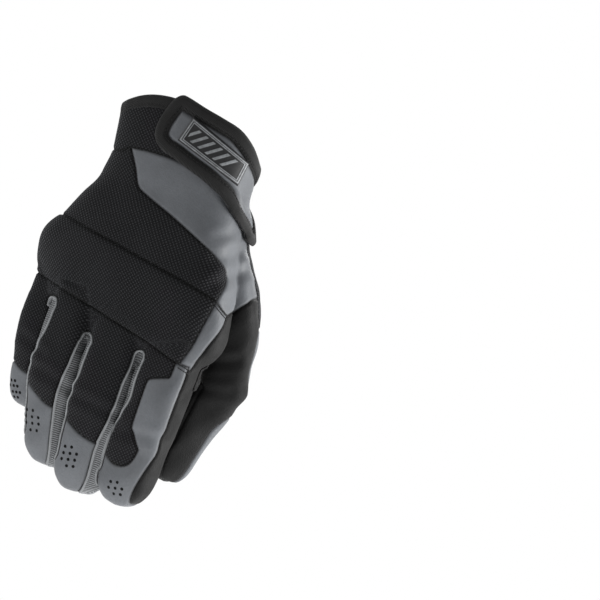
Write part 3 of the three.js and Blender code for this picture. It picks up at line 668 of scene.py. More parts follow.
class Cells:
    """Fields of a surface from its undeformed points and its distances from each limb."""

    def __init__(self, surface):
        self.points = surface.values["base"]
        self.near = surface.values["near"]
        self.x, self.z = self.points[:, 0], self.points[:, 2]
        self.body = BODY.local(self.points)
        self.thumb = THUMB.local(self.points)

    def member(self, number):
        others = np.delete(self.near, number, axis=1).min(axis=1)
        return self.near[:, number] - others

    def body_front(self):
        wide, deep, half_width, half_depth = self.body
        limit = BACK_LIMIT * half_depth * np.clip((half_width - wide) / (2 * half_width), 0, 1)
        end = -BODY_ROWS[-1][0] * PALM_LENGTH
        return np.maximum.reduce([deep - limit, np.abs(wide) - half_width - BODY_REACH, end - self.z])

    def thumb_front(self):
        along = (-THUMB_ROOT * PALM_LENGTH - self.z) / THUMB_LENGTH
        wide, deep, half_width, _ = self.thumb
        side_seam = WALL_SEAM - WALL_SEAM_PULL * smoothstep(*WALL_SEAM_RUN, along)
        return np.maximum.reduce([deep, self.near[:, THUMB_NUMBER] - 1, wide - side_seam * half_width])

    def front_of_hand(self):
        beside = np.maximum.reduce([self.thumb[1], 0.22 * PALM_WIDTH - self.x, -PALM_LENGTH - self.z])
        return np.minimum(self.body_front(), beside)

    def finger(self, name):
        return FINGER_LIMBS[name].local(self.points)

    def finger_back(self, name, wrap=0.0):
        """Back of a finger between its side seams. wrap is how far it goes on round the tip."""
        wide, deep, half_width, half_depth = self.finger(name)
        _, _, _, drop, length, _, depth, *_ = FINGER_SIZES[name]
        along = (-drop - self.z) / length
        share = np.clip(wide / half_width, -1.2, 1.2)
        left, right = (PALM_SEAM, -1.3 * BACK_SEAM) if name == "little" else (-BACK_SEAM, -BACK_SEAM)
        limit = (left + (right - left) * (share + 1) / 2) * half_depth
        round_tip = smoothstep(0.8, 0.97, along)
        back = deep - limit - wrap * depth / 2 * round_tip
        if name != "index":
            start, end = RING_SEAM_RUN if name == "ring" else SEAM_RUN
            right_seam = SEAM_OUT - SEAM_PULL * smoothstep(start, end, along)
            back = np.maximum(back, wide - right_seam * half_width)
        else:
            back = np.maximum(back, wide - INDEX_SEAM + INDEX_SEAM_TURN * (along - INDEX_SEAM_ALONG))
        if name != "little":
            back = np.maximum(back, -wide - (LEFT_SEAM + LEFT_SEAM_TIP * round_tip) * half_width)
        return back

    def finger_front(self, name, wrap=0.0):
        return np.maximum(self.finger_back(name, wrap), self.member(FINGER_NAMES.index(name)))

    def finger_middle(self, name, side):
        wide, deep, _, half_depth = self.finger(name)
        number = FINGER_NAMES.index(name)
        return np.maximum.reduce([
            -self.finger_back(name), deep - PALM_SEAM * half_depth, self.member(number), -side * wide,
        ])

    def flat(self, outline):
        return outline_field(outline, self.x, self.z)

    def cap(self, name):
        _, x, _, drop, length, width, _, _, lean, _ = FINGER_SIZES[name]
        rows = np.array(FINGER_ROWS)
        runs = []
        for run in CAP_LINES[name]:
            points = [
                (x + np.interp(t, rows[:, 0], rows[:, 3]) * lean + s * width / 2, -drop - t * length)
                for s, t in run
            ]
            runs.append(curve_through(points, 1.0))
        line = np.vstack(runs)
        low = -drop - 1.3 * length
        outline = np.vstack([line, [[line[-1, 0], low], [line[0, 0], low]]])
        return np.maximum(self.finger_front(name, wrap=1.05), self.flat(outline))

    def cuff_band(self):
        return line_field(CUFF_LOWER, self.x, self.z)

    def side_panel(self):
        outline = trace([SIDE_PANEL_LEFT, SIDE_PANEL_TOP, [(0.8, 0.25), (0.8, 0.56)], THUMB_TOP, STRIP_TOP])
        return np.maximum(self.front_of_hand(), self.flat(outline))

    def side_strip(self):
        outline = trace([STRIP_LEFT, [(0.34, 0.99), (0.403, 1.0)], STRIP_RIGHT, STRIP_TOP])
        return np.maximum(self.body_front(), self.flat(outline))

    def sidewall(self, web):
        left, right, u, v = WEBS[web]
        top_x, top_z = u * PALM_WIDTH, -v * PALM_LENGTH
        walls = np.minimum(self.finger_middle(left, 1), self.finger_middle(right, -1))
        walls = np.maximum(walls, self.z - top_z + WALL_TOP_DROP)
        radius = LOOP_WIDTH / 2
        arc = np.hypot(self.x - top_x, np.maximum(self.z - top_z + radius, 0)) - radius
        slot = np.maximum.reduce([arc, top_z - 1.3 * LOOP_WIDTH - self.z, np.abs(self.points[:, 1]) - 40])
        on_left = self.near[:, FINGER_NAMES.index(left)] < self.near[:, FINGER_NAMES.index(right)]
        (_, deep_left, _, half_left), (_, deep_right, _, half_right) = self.finger(left), self.finger(right)
        palm = np.where(on_left, deep_left - PALM_SEAM * half_left, deep_right - PALM_SEAM * half_right)
        front = np.maximum(self.flat(curve_through(LOOPS[web], 1.0)), palm)
        return np.minimum.reduce([walls, slot, front])

    def knuckle_band(self):
        lower = curve_through(on_palm(SEAM_B))[::-1]
        outline = np.vstack([trace([SEAM_A, STRIP_LEFT]), lower])
        return np.maximum(self.body_front(), self.flat(outline))

    def back_panel(self):
        return np.maximum(self.body_front(), line_field(SEAM_A, self.x, self.z))

    def finger_back_panel(self):
        fronts = [self.finger_front(name) for name in FINGER_NAMES]
        beyond = trace([STRIP_RIGHT, [(0.483, 0.73), (0.9, 0.73)], [(0.9, 0.73), (0.9, 1.0)],
                        [(0.9, 1.0), (0.403, 1.0)]])
        return np.minimum.reduce([np.maximum(self.body_front(), -self.flat(beyond))] + fronts)

    def thumb_gusset(self):
        outline = trace([GUSSET_INNER, [(0.22, 0.22), (0.9, 0.22)], [(0.9, 0.22), (0.8, 0.8)]])
        return self.flat(outline)

    def thumb_side(self):
        outline = trace([
            THUMB_SIDE_INNER, [(0.3, 0.44), (1.2, 0.44)], [(1.2, 0.44), (1.2, 2)], [(1.2, 2), (0.3, 2)],
            [(0.3, 2), (0.4, 1.4), (0.66, 0.9)],
        ])
        wide, _, half_width, _ = self.thumb
        outer = np.maximum(THUMB_SEAM * half_width - wide, self.near[:, THUMB_NUMBER] - 1)
        return np.maximum(outer, self.flat(outline))

    def palm_side(self):
        wide, deep, half_width, half_depth = self.body
        share = np.clip((wide / half_width + 1) / 2, 0, 1)
        limit = (PALM_LEFT + (PALM_RIGHT - PALM_LEFT) * share) * half_depth
        palm = np.maximum(limit - deep, np.abs(wide) - half_width - BODY_REACH)
        fingers = []
        for number, name in enumerate(FINGER_NAMES):
            _, deep, _, half_depth = self.finger(name)
            fingers.append(np.maximum(PALM_SEAM * half_depth - deep, self.member(number)))
        fingers = np.minimum.reduce(fingers)
        high = -0.93 * PALM_LENGTH
        return np.where(self.z > high, palm, fingers)

    def overlay(self):
        shape = np.maximum(self.flat(trace(OVERLAY)), -self.flat(trace(SLIT)))
        return np.maximum(shape, self.palm_side())

    def pad(self, outline):
        return np.maximum(self.flat(trace(outline)), self.palm_side())


CELLS = [
    ("index_cap", lambda cells: cells.cap("index")),
    ("middle_cap", lambda cells: cells.cap("middle")),
    ("ring_cap", lambda cells: cells.cap("ring")),
    ("little_cap", lambda cells: cells.cap("little")),
    ("cuff_band", Cells.cuff_band),
    ("side_panel", Cells.side_panel),
    ("side_strip", Cells.side_strip),
    ("middle_index_sidewall", lambda cells: cells.sidewall("middle_index_sidewall")),
    ("ring_middle_sidewall", lambda cells: cells.sidewall("ring_middle_sidewall")),
    ("little_ring_sidewall", lambda cells: cells.sidewall("little_ring_sidewall")),
    ("knuckle_band", Cells.knuckle_band),
    ("back_panel", Cells.back_panel),
    ("finger_back_panel", Cells.finger_back_panel),
    ("thumb_front", Cells.thumb_front),
    ("thumb_gusset", Cells.thumb_gusset),
    ("thumb_side", Cells.thumb_side),
]


def cut_panels(form):
    """Panels of the glove by name. Small leftovers go to the piece that they border on most."""
    panels = {}
    rest = form
    for name, field_of in CELLS:
        field = field_of(Cells(rest))
        piece = clip(rest, field)
        rest = clip(rest, -field)
        panels[name], scraps = large_parts(piece)
        rest = welded(joined(rest, scraps))
    panels["palm_panel"], scraps = large_parts(rest)
    part = parts_of(scraps) if len(scraps.faces) else np.zeros(0)
    for label in np.unique(part):
        scrap = scraps.part(part == label)
        spots = set(map(tuple, np.round(scrap.points, 3).tolist()))
        shared = {
            name: len(spots & set(map(tuple, np.round(piece.points, 3).tolist())))
            for name, piece in panels.items()
        }
        nearest = max(shared, key=shared.get)
        panels[nearest] = welded(joined(panels[nearest], scrap))
    return panels


# Creases and folds of the worn glove.
# side (-1 back, 1 palm), x0, z0, x1, z1, depth, half width
CREASES = [
    (-1, 44.0, -88.0, 62.0, -70.0, 0.7, 3.2),
    (-1, 40.0, -74.0, 60.0, -58.0, 0.55, 3.4),
    (-1, 36.0, -60.0, 52.0, -48.0, 0.4, 3.0),
    (-1, 20.0, -188.0, 48.0, -184.0, 0.7, 3.4),
    (-1, -12.0, -178.0, 16.0, -181.0, 0.8, 3.2),
    (-1, -42.0, -170.0, -18.0, -176.0, 0.8, 3.2),
    (-1, -58.0, -156.0, -40.0, -162.0, 0.7, 3.0),
    (-1, 56.0, -150.0, 74.0, -146.0, 0.8, 3.0),
    (-1, 54.0, -134.0, 72.0, -126.0, 0.8, 3.0),
    (1, -46.0, -108.0, 44.0, -116.0, 1.2, 3.4),
    (1, 18.0, -150.0, 48.0, -142.0, 1.3, 3.0),
    (1, 18.0, -158.0, 48.0, -152.0, 1.2, 2.8),
    (1, -14.0, -150.0, 16.0, -147.0, 1.1, 3.0),
    (1, -44.0, -146.0, -20.0, -149.0, 1.0, 3.0),
    (1, -60.0, -138.0, -40.0, -141.0, 0.9, 2.6),
    (1, 22.0, -186.0, 46.0, -184.0, 1.0, 3.0),
    (1, -12.0, -182.0, 16.0, -184.0, 1.0, 3.0),
    (1, -40.0, -176.0, -18.0, -180.0, 1.0, 2.8),
    (1, -56.0, -160.0, -40.0, -164.0, 0.9, 2.6),
    (1, 48.0, -140.0, 76.0, -134.0, 1.2, 3.0),
    (1, 44.0, -108.0, 70.0, -96.0, 1.2, 3.4),
]


def crease_depth(points, normals):
    """How far the creases push each point in."""
    depth = np.zeros(len(points))
    for side, x0, z0, x1, z1, most, half in CREASES:
        dx, dz = x1 - x0, z1 - z0
        share = ((points[:, 0] - x0) * dx + (points[:, 2] - z0) * dz) / (dx * dx + dz * dz)
        held = np.clip(share, 0, 1)
        off = np.hypot(points[:, 0] - x0 - held * dx, points[:, 2] - z0 - held * dz)
        facing = smoothstep(-0.1, 0.5, side * normals[:, 1])
        valley = np.exp(-(off / half) ** 2)
        shoulder = np.exp(-((off - 1.9 * half) / half) ** 2)
        depth += facing * most * (valley - 0.55 * shoulder)
    return depth


def soft_waves(points):
    """Slow unevenness of worn cloth."""
    x, y, z = points.T / 10
    return 0.32 * (np.sin(1.9 * x + 1.3 * z + 0.7 * y) + np.sin(-1.1 * x + 1.7 * z + 1.9 * y + 1.0)) + (
        0.2 * np.sin(3.1 * x - 2.3 * z + 2.0 * y + 2.0)
    )


def worn(surface):
    """The form with its creases and waves, and its own smooth points kept as values."""
    normals = surface.normals()
    points = surface.points
    calm = smoothstep(-44, -62, points[:, 2]) * 0.9 + 0.1
    push = (soft_waves(points) * 0.8 - crease_depth(points, normals)) * calm
    made = surface.with_points(points + normals * push[:, None])
    made.values["base"] = points
    made.values["facing"] = normals
    return made


# Meshes of the pieces.

PIECES = []


def cloth_spots(surface):
    """Place of each point on the cloth, in millimetres across and along it."""
    points = surface.values["base"]
    near = surface.values["near"]
    spots = np.zeros((len(points), 2))
    total = np.zeros(len(points))
    limbs = [FINGER_LIMBS[name] for name in FINGER_NAMES] + [THUMB, BODY]
    for number, limb in enumerate(limbs):
        wide, deep, _, half_depth = limb.local(points)
        round_side = wide + np.sign(wide) * np.maximum(0, deep + 0.6 * half_depth)
        if number < len(near[0]):
            weight = smoothstep(2.5, 0.5, near[:, number]) + 1e-6
        else:
            weight = 0.02 * np.ones(len(points))
        spots[:, 0] += weight * round_side
        total += weight
    spots[:, 0] /= total
    spots[:, 1] = -points[:, 2]
    return spots


def finish_piece(made, replaced, material, edge=None, cloth=None):
    """Material, smooth faces, edge and cloth values, and a place under the root body for a new piece, with
    the parts that it replaces hidden.
    """
    made.data.materials.clear()
    made.data.materials.append(material)
    made.data.shade_smooth()
    if edge is not None:
        attribute = made.data.attributes.new("edge", "FLOAT", "POINT")
        attribute.data.foreach_set("value", edge)
    if cloth is not None:
        attribute = made.data.attributes.new("cloth", "FLOAT_VECTOR", "POINT")
        attribute.data.foreach_set("vector", np.column_stack([cloth, np.zeros(len(cloth))]).ravel())
    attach(made, "root")
    if replaced:
        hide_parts(*replaced)
    PIECES.append(made)
    return made


def shell(name, surface, outer, inner, replaced, material):
    """Closed piece of cloth between two heights above its surface, each a value at every point."""
    normals = surface.values["facing"]
    count = len(surface.points)
    top = surface.points + normals * np.broadcast_to(outer, count)[:, None]
    low = surface.points + normals * np.broadcast_to(inner, count)[:, None]
    edge = edge_distance(surface)
    directed = surface.faces[:, [[0, 1], [1, 2], [2, 0]]].reshape(-1, 2)
    pairs = {}
    for a, b in directed.tolist():
        if (b, a) in pairs:
            del pairs[b, a]
        else:
            pairs[a, b] = True
    rim = [(b, a, a + count, b + count) for a, b in pairs]
    faces = surface.faces.tolist() + (surface.faces[:, ::-1] + count).tolist() + rim
    made = object_of(name, np.vstack([top, low]), faces)
    cloth = cloth_spots(surface)
    both = np.concatenate
    return finish_piece(made, replaced, material, both([edge, edge]), both([cloth, cloth]))


def ring_lines(surface, values, level):
    """Smoothed lines where values pass a level, each with its points and outward normals."""
    field = values - level
    field = np.where(np.abs(field) < 1e-4, 1e-4, field)
    below = field[surface.faces] < 0
    crossing = surface.faces[below.any(axis=1) & ~below.all(axis=1)]
    normals = surface.values["facing"]
    spots, links = {}, {}
    for face in crossing.tolist():
        keys = []
        for i, j in zip(face, face[1:] + face[:1]):
            if (field[i] < 0) != (field[j] < 0):
                i, j = min(i, j), max(i, j)
                share = field[i] / (field[i] - field[j])
                spots[i, j] = np.concatenate([
                    surface.points[i] * (1 - share) + surface.points[j] * share,
                    normals[i] * (1 - share) + normals[j] * share,
                ])
                keys.append((i, j))
        links.setdefault(keys[0], []).append(keys[1])
        links.setdefault(keys[1], []).append(keys[0])
    lines, seen = [], set()
    for start in sorted(links, key=lambda key: len(links[key])):
        if start in seen:
            continue
        line, here = [], start
        while here is not None:
            seen.add(here)
            line.append(spots[here])
            here = next((key for key in links[here] if key not in seen), None)
        if len(line) > 12:
            lines.append(np.array(line))
    return [smooth_line(line) for line in lines]


def smooth_line(line, rounds=6):
    closed = np.linalg.norm(line[0, :3] - line[-1, :3]) < 2.5
    for _ in range(rounds):
        before, after = np.roll(line, 1, axis=0), np.roll(line, -1, axis=0)
        if not closed:
            before[0], after[-1] = line[0], line[-1]
        line = 0.5 * line + 0.25 * (before + after)
    return np.vstack([line, line[:1]]) if closed else line


STITCH_SIDES = 6
STITCH_RINGS = [(-0.5, 0.25), (-0.36, 0.9), (0.0, 1.0), (0.36, 0.9), (0.5, 0.25)]


def stitch_row(lines, pitch=2.7, length=2.0, radius=0.3, lift=0.0):
    """Points and faces of stitches along lines of points and normals."""
    template = []
    for along, share in STITCH_RINGS:
        for side in range(STITCH_SIDES):
            angle = 2 * math.pi * side / STITCH_SIDES
            wide, deep = share * radius * math.cos(angle), share * radius * math.sin(angle)
            template.append((along * length, wide, deep))
    template = np.array(template)
    stitch = tube_faces(len(STITCH_RINGS), STITCH_SIDES)
    points, faces = [], []
    for line in lines:
        steps = np.linalg.norm(np.diff(line[:, :3], axis=0), axis=1)
        run = np.concatenate([[0], np.cumsum(steps)])
        count = int(run[-1] / pitch)
        if count < 2:
            continue
        middles = (np.arange(count) + 0.5) * run[-1] / count
        at = np.column_stack([np.interp(middles, run, line[:, k]) for k in range(6)])
        ahead = np.column_stack([np.interp(middles + 0.6, run, line[:, k]) for k in range(3)])
        behind = np.column_stack([np.interp(middles - 0.6, run, line[:, k]) for k in range(3)])
        for spot, front, back in zip(at, ahead, behind):
            along = (front - back) / max(np.linalg.norm(front - back), 1e-6)
            up = spot[3:] - along * spot[3:].dot(along)
            up /= max(np.linalg.norm(up), 1e-6)
            across = np.cross(up, along)
            base = sum(len(block) for block in points)
            points.append(spot[:3] + up * lift + template @ np.array([along, across, up]))
            faces += [[base + i for i in face] for face in stitch]
    return points, faces


def sewn(name, lines, slot, material, **settings):
    """Object of stitch rows."""
    blocks, faces = stitch_row(lines, **settings)
    if not blocks:
        return None
    made = object_of(name, np.vstack(blocks), faces)
    return finish_piece(made, (), material)


# Materials.

def new_material(name, base, roughness, **sockets):
    material = bpy.data.materials.new(name)
    material.use_nodes = True
    shader = material.node_tree.nodes["Principled BSDF"]
    shader.inputs["Base Color"].default_value = (*base, 1)
    shader.inputs["Roughness"].default_value = roughness
    for socket, value in sockets.items():
        shader.inputs[socket.replace("_", " ")].default_value = value
    return material


def shaded(colour, share):
    return tuple(share * part for part in colour)


class Nodes:
    """Short ways to add the nodes of one material."""

    def __init__(self, material):
        self.tree = material.node_tree
        self.shader = self.tree.nodes["Principled BSDF"]

    def add(self, kind, settings=None, **inputs):
        node = self.tree.nodes.new(kind)
        for key, value in (settings or {}).items():
            setattr(node, key, value)
        for key, value in inputs.items():
            self.feed(node.inputs[key.replace("_", " ")], value)
        return node

    def feed(self, socket, value):
        if isinstance(value, bpy.types.NodeSocket):
            self.tree.links.new(value, socket)
        else:
            socket.default_value = value

    def finish(self, name, value):
        self.feed(self.shader.inputs[name], value)

    def math(self, operation, *values):
        node = self.tree.nodes.new("ShaderNodeMath")
        node.operation = operation
        for socket, value in zip(node.inputs, values):
            self.feed(socket, value)
        return node.outputs[0]

    def ramp(self, value, low, high, start=0.0, end=1.0):
        node = self.add("ShaderNodeMapRange", {"interpolation_type": "SMOOTHSTEP"})
        for key, number in (("Value", value), ("From Min", low), ("From Max", high),
                            ("To Min", start), ("To Max", end)):
            self.feed(node.inputs[key], number)
        return node.outputs["Result"]

    def mix(self, factor, first, second):
        node = self.add("ShaderNodeMix", {"data_type": "RGBA"})
        self.feed(node.inputs["Factor"], factor)
        for key, colour in (("A", first), ("B", second)):
            socket = next(item for item in node.inputs if item.name == key and item.type == "RGBA")
            self.feed(socket, colour if isinstance(colour, bpy.types.NodeSocket) else (*colour, 1))
        return next(item for item in node.outputs if item.type == "RGBA")

    def place(self):
        return self.add("ShaderNodeTexCoord").outputs["Object"]

    def noise(self, size, detail=2.0, roughness=0.5):
        """Noise whose features are about size millimetres wide."""
        node = self.add("ShaderNodeTexNoise", Vector=self.place(), Scale=1000.0 / size, Detail=detail,
                        Roughness=roughness)
        return node.outputs["Fac"]

    def grain(self, size, feature="F1"):
        node = self.add("ShaderNodeTexVoronoi", {"feature": feature}, Vector=self.place(),
                        Scale=1000.0 / size)
        return node.outputs["Distance"]

    def cloth(self):
        node = self.add("ShaderNodeAttribute", {"attribute_name": "cloth"})
        parts = self.add("ShaderNodeSeparateXYZ", Vector=node.outputs["Vector"])
        return parts.outputs["X"], parts.outputs["Y"]

    def edge(self):
        return self.add("ShaderNodeAttribute", {"attribute_name": "edge"}).outputs["Fac"]

    def ridges(self, across, period):
        """Rounded ridges, 0 to 1, over a coordinate in millimetres."""
        turn = self.math("MULTIPLY", across, 2 * math.pi / period)
        return self.math("MULTIPLY_ADD", self.math("SINE", turn), 0.5, 0.5)

    def bump(self, height, deep, strength=1.0, under=None):
        """Bump of a height from 0 to 1 that stands for deep millimetres."""
        node = self.add("ShaderNodeBump", Height=height, Distance=deep * MM, Strength=strength)
        if under is not None:
            self.feed(node.inputs["Normal"], under)
        return node.outputs["Normal"]


def air_mesh(name, base, glint):
    """Knitted air mesh: small holes in diagonal rows."""
    material = new_material(name, base, 0.85, Sheen_Weight=0.06, Sheen_Roughness=0.35,
                            Sheen_Tint=(0.7, 0.73, 0.78, 1), Specular_IOR_Level=0.12)
    nodes = Nodes(material)
    across, along = nodes.cloth()
    one = nodes.ridges(nodes.math("ADD", across, along), 2.4)
    two = nodes.ridges(nodes.math("SUBTRACT", across, along), 2.4)
    weave = nodes.math("MULTIPLY", one, two)
    thread = nodes.ramp(weave, 0.12, 0.6)
    fuzz = nodes.noise(0.5)
    worn_patch = nodes.noise(34.0, 3.0)
    dull = nodes.mix(nodes.ramp(worn_patch, 0.35, 0.7), base, shaded(base, 1.35))
    lit = nodes.mix(nodes.math("MULTIPLY", thread, nodes.ramp(fuzz, 0.3, 0.7, 0.5, 1.0)), dull, glint)
    # Painted shade: within about 1.6 mm of the panel's edge the colour goes to near black, in the sunk
    # seam.
    seam_shade = nodes.ramp(nodes.edge(), 0.4, 1.6)
    nodes.finish("Base Color", nodes.mix(seam_shade, (0.001, 0.001, 0.001), lit))
    nodes.finish("Roughness", nodes.ramp(thread, 0.0, 1.0, 0.95, 0.7))
    nodes.finish("Normal", nodes.bump(weave, 0.5, 0.9, nodes.bump(fuzz, 0.1, 0.6)))
    return material


def synthetic_leather(name, base, light):
    """Smooth coated cloth with a fine pore and soft scuffs."""
    material = new_material(name, base, 0.6, Sheen_Weight=0.06, Sheen_Roughness=0.4, Specular_IOR_Level=0.2)
    nodes = Nodes(material)
    pores = nodes.grain(0.9)
    cloud = nodes.noise(26.0, 4.0, 0.6)
    fine = nodes.noise(1.6, 3.0, 0.6)
    tone = nodes.mix(nodes.ramp(cloud, 0.3, 0.72), base, light)
    tone = nodes.mix(nodes.ramp(fine, 0.35, 0.8, 0.0, 0.3), tone, shaded(base, 0.72))
    # Painted shade: within about 1.3 mm of the panel's edge the colour darkens to a quarter of the base, in
    # the sunk seam.
    seam_shade = nodes.ramp(nodes.edge(), 0.1, 1.3)
    nodes.finish("Base Color", nodes.mix(seam_shade, shaded(base, 0.25), tone))
    nodes.finish("Roughness", nodes.ramp(cloud, 0.3, 0.7, 0.5, 0.68))
    under = nodes.bump(pores, 0.12, 0.5)
    nodes.finish("Normal", nodes.bump(fine, 0.16, 0.6, under))
    return material


def rib_knit(name, base, light):
    """Stretch knit with ribs across the finger."""
    material = new_material(name, base, 0.9, Sheen_Weight=0.05, Sheen_Roughness=0.4, Specular_IOR_Level=0.1)
    nodes = Nodes(material)
    _, along = nodes.cloth()
    ribs = nodes.ridges(along, 1.3)
    fuzz = nodes.noise(0.45)
    tone = nodes.mix(nodes.ramp(ribs, 0.15, 0.8), shaded(base, 0.5), light)
    tone = nodes.mix(nodes.ramp(fuzz, 0.3, 0.75, 0.0, 0.5), tone, base)
    # Within about 1.3 mm of the edge, over the raised bead, the knit has no ribs and takes the lighter
    # colour: the plain band is real, its lighter colour is a painted highlight on the rim.
    trim = nodes.ramp(nodes.edge(), 1.3, 1.9)
    tone = nodes.mix(trim, light, tone)
    # Painted shade: within half a millimetre of the panel's edge the colour darkens to about a third of the
    # base, in the seam.
    seam_shade = nodes.ramp(nodes.edge(), 0.0, 0.5)
    nodes.finish("Base Color", nodes.mix(seam_shade, shaded(base, 0.3), tone))
    nodes.finish("Roughness", nodes.ramp(fuzz, 0.2, 0.8, 0.8, 0.95))
    ribbed = nodes.math("MULTIPLY", ribs, trim)
    nodes.finish("Normal", nodes.bump(ribbed, 0.4, 0.9, nodes.bump(fuzz, 0.1, 0.7)))
    return material


def suede(name, base, nap, size):
    """Black synthetic suede with a soft nap."""
    material = new_material(name, base, 0.75, Sheen_Weight=0.025, Sheen_Roughness=0.35,
                            Specular_IOR_Level=0.1)
    nodes = Nodes(material)
    grain = nodes.grain(size)
    fine = nodes.noise(0.6, 3.0)
    cloud = nodes.noise(18.0, 3.0, 0.6)
    tone = nodes.mix(nodes.ramp(cloud, 0.35, 0.7), base, nap)
    # Painted shade: within about 1.2 mm of the panel's edge the colour darkens to about a third of the
    # base, in the sunk seam.
    seam_shade = nodes.ramp(nodes.edge(), 0.1, 1.2)
    nodes.finish("Base Color", nodes.mix(seam_shade, shaded(base, 0.3), tone))
    nodes.finish("Roughness", nodes.ramp(cloud, 0.3, 0.7, 0.6, 0.8))
    nodes.finish("Normal", nodes.bump(grain, 0.22, 0.7, nodes.bump(fine, 0.12, 0.6)))
    return material


TWILL_SLANT = 1.6


def twill_tape(name, base, light):
    """Folded stretch tape with a fine twill."""
    material = new_material(name, base, 0.85, Sheen_Weight=0.05, Sheen_Roughness=0.35,
                            Specular_IOR_Level=0.14)
    nodes = Nodes(material)
    parts = nodes.add("ShaderNodeSeparateXYZ", Vector=nodes.place())
    level = nodes.math("ADD", parts.outputs["X"], parts.outputs["Y"])
    slant = nodes.math("MULTIPLY_ADD", parts.outputs["Z"], TWILL_SLANT, level)
    twill = nodes.ridges(nodes.math("MULTIPLY", slant, 1000.0), 1.5)
    fuzz = nodes.noise(0.5)
    cloud = nodes.noise(22.0, 3.0)
    tone = nodes.mix(nodes.ramp(twill, 0.2, 0.9), base, light)
    tone = nodes.mix(nodes.ramp(cloud, 0.35, 0.7, 0.0, 0.4), tone, shaded(base, 0.6))
    nodes.finish("Base Color", tone)
    nodes.finish("Roughness", nodes.ramp(fuzz, 0.2, 0.8, 0.75, 0.95))
    nodes.finish("Normal", nodes.bump(twill, 0.18, 0.8, nodes.bump(fuzz, 0.1, 0.6)))
    return material


def moulded_rubber(name, base, mark):
    """Matt rubber with pale marks where its own attribute says."""
    material = new_material(name, base, 0.5, Specular_IOR_Level=0.2)
    nodes = Nodes(material)
    marks = nodes.edge()
    fine = nodes.noise(0.7, 3.0)
    scuffs = nodes.noise(3.0, 4.0, 0.7)
    pale = nodes.mix(nodes.ramp(scuffs, 0.35, 0.7), mark, shaded(mark, 0.6))
    nodes.finish("Base Color", nodes.mix(nodes.ramp(marks, 0.35, 0.65), base, pale))
    nodes.finish("Roughness", nodes.ramp(scuffs, 0.3, 0.7, 0.42, 0.6))
    nodes.finish("Normal", nodes.bump(fine, 0.08, 0.6))
    return material


def twisted_thread(name, base, light):
    material = new_material(name, base, 0.7, Sheen_Weight=0.03, Specular_IOR_Level=0.1)
    nodes = Nodes(material)
    strands = nodes.noise(0.35, 2.0)
    nodes.finish("Base Color", nodes.mix(nodes.ramp(strands, 0.35, 0.65), base, light))
    nodes.finish("Normal", nodes.bump(strands, 0.1, 0.8))
    return material


MESH = air_mesh("black_air_mesh", (0.0022, 0.0022, 0.0026), (0.0115, 0.012, 0.0132))
GREY = synthetic_leather("grey_synthetic_leather", (0.046, 0.049, 0.0535), (0.061, 0.065, 0.071))
KNIT = rib_knit("grey_rib_knit", (0.07, 0.073, 0.076), (0.12, 0.124, 0.128))
LEATHER = suede("black_suede", (0.0018, 0.0018, 0.0018), (0.0032, 0.0032, 0.0032), 0.8)
PAD = suede("grained_pad", (0.0085, 0.0087, 0.0087), (0.015, 0.0154, 0.0154), 1.1)
BINDING = twill_tape("black_binding_tape", (0.004, 0.004, 0.004), (0.01, 0.01, 0.01))
BADGE_RUBBER = moulded_rubber("badge_rubber", (0.004, 0.004, 0.0045), (0.11, 0.115, 0.12))
THREAD = twisted_thread("black_thread", (0.003, 0.003, 0.003), (0.01, 0.01, 0.01))
# Painted shade: the perforations' near-black colour stands for the dark inside of each hole.
PIT = twisted_thread("perforation_painted_shade", (0.001, 0.001, 0.001), (0.002, 0.002, 0.002))
PIT.node_tree.nodes["Principled BSDF"].inputs["Specular IOR Level"].default_value = 0.05
PIT.node_tree.nodes["Principled BSDF"].inputs["Sheen Weight"].default_value = 0.0


# The glove's pieces.

def slot_depth(name, surface):
    """How deep the knit lies between two fingers, near the top of its loop."""
    _, _, u, v = WEBS[name]
    off = np.hypot(surface.points[:, 0] - u * PALM_WIDTH, surface.points[:, 2] + v * PALM_LENGTH + 3)
    front = smoothstep(0.0, -0.4, surface.values["facing"][:, 1])
    return 0.5 + 2.6 * front * smoothstep(16, 3, off)


PANEL_LOOKS = {"mesh": MESH, "grey": GREY, "knit": KNIT, "leather": LEATHER}
PANEL_SLOTS = {
    "mesh": ("cuff_band", "back_panel", "knuckle_band", "finger_back_panel", "thumb_gusset"),
    "grey": ("side_panel", "side_strip", "thumb_side", "index_cap", "middle_cap", "ring_cap", "little_cap"),
    "knit": tuple(WEBS),
    "leather": ("palm_panel", "thumb_front"),
}


def make_panels(form):
    """Cloth and leather panels of the glove's one wall, with sunk seams."""
    panels = cut_panels(form)
    for name, surface in panels.items():
        slot = next(slot for slot, names in PANEL_SLOTS.items() if name in names)
        edge = edge_distance(surface)
        sunk = -0.75 * (1 - smoothstep(0, 1.6, edge))
        crown = 0.2 * smoothstep(0, 9, edge)
        if name == "knuckle_band":
            crown = 1.2 * np.sqrt(np.clip(1 - (1 - np.clip(edge / 8, 0, 1)) ** 2, 0, 1))
        if name.endswith("sidewall"):
            trim = 0.7 * np.exp(-((edge - 0.9) / 0.6) ** 2)
            crown = trim - slot_depth(name, surface) * smoothstep(1.1, 2.6, edge)
            sunk = -0.35 * (1 - smoothstep(0, 0.5, edge))
        made = shell(name + "_cloth", surface, sunk + crown, -1.7, (name,), PANEL_LOOKS[slot])


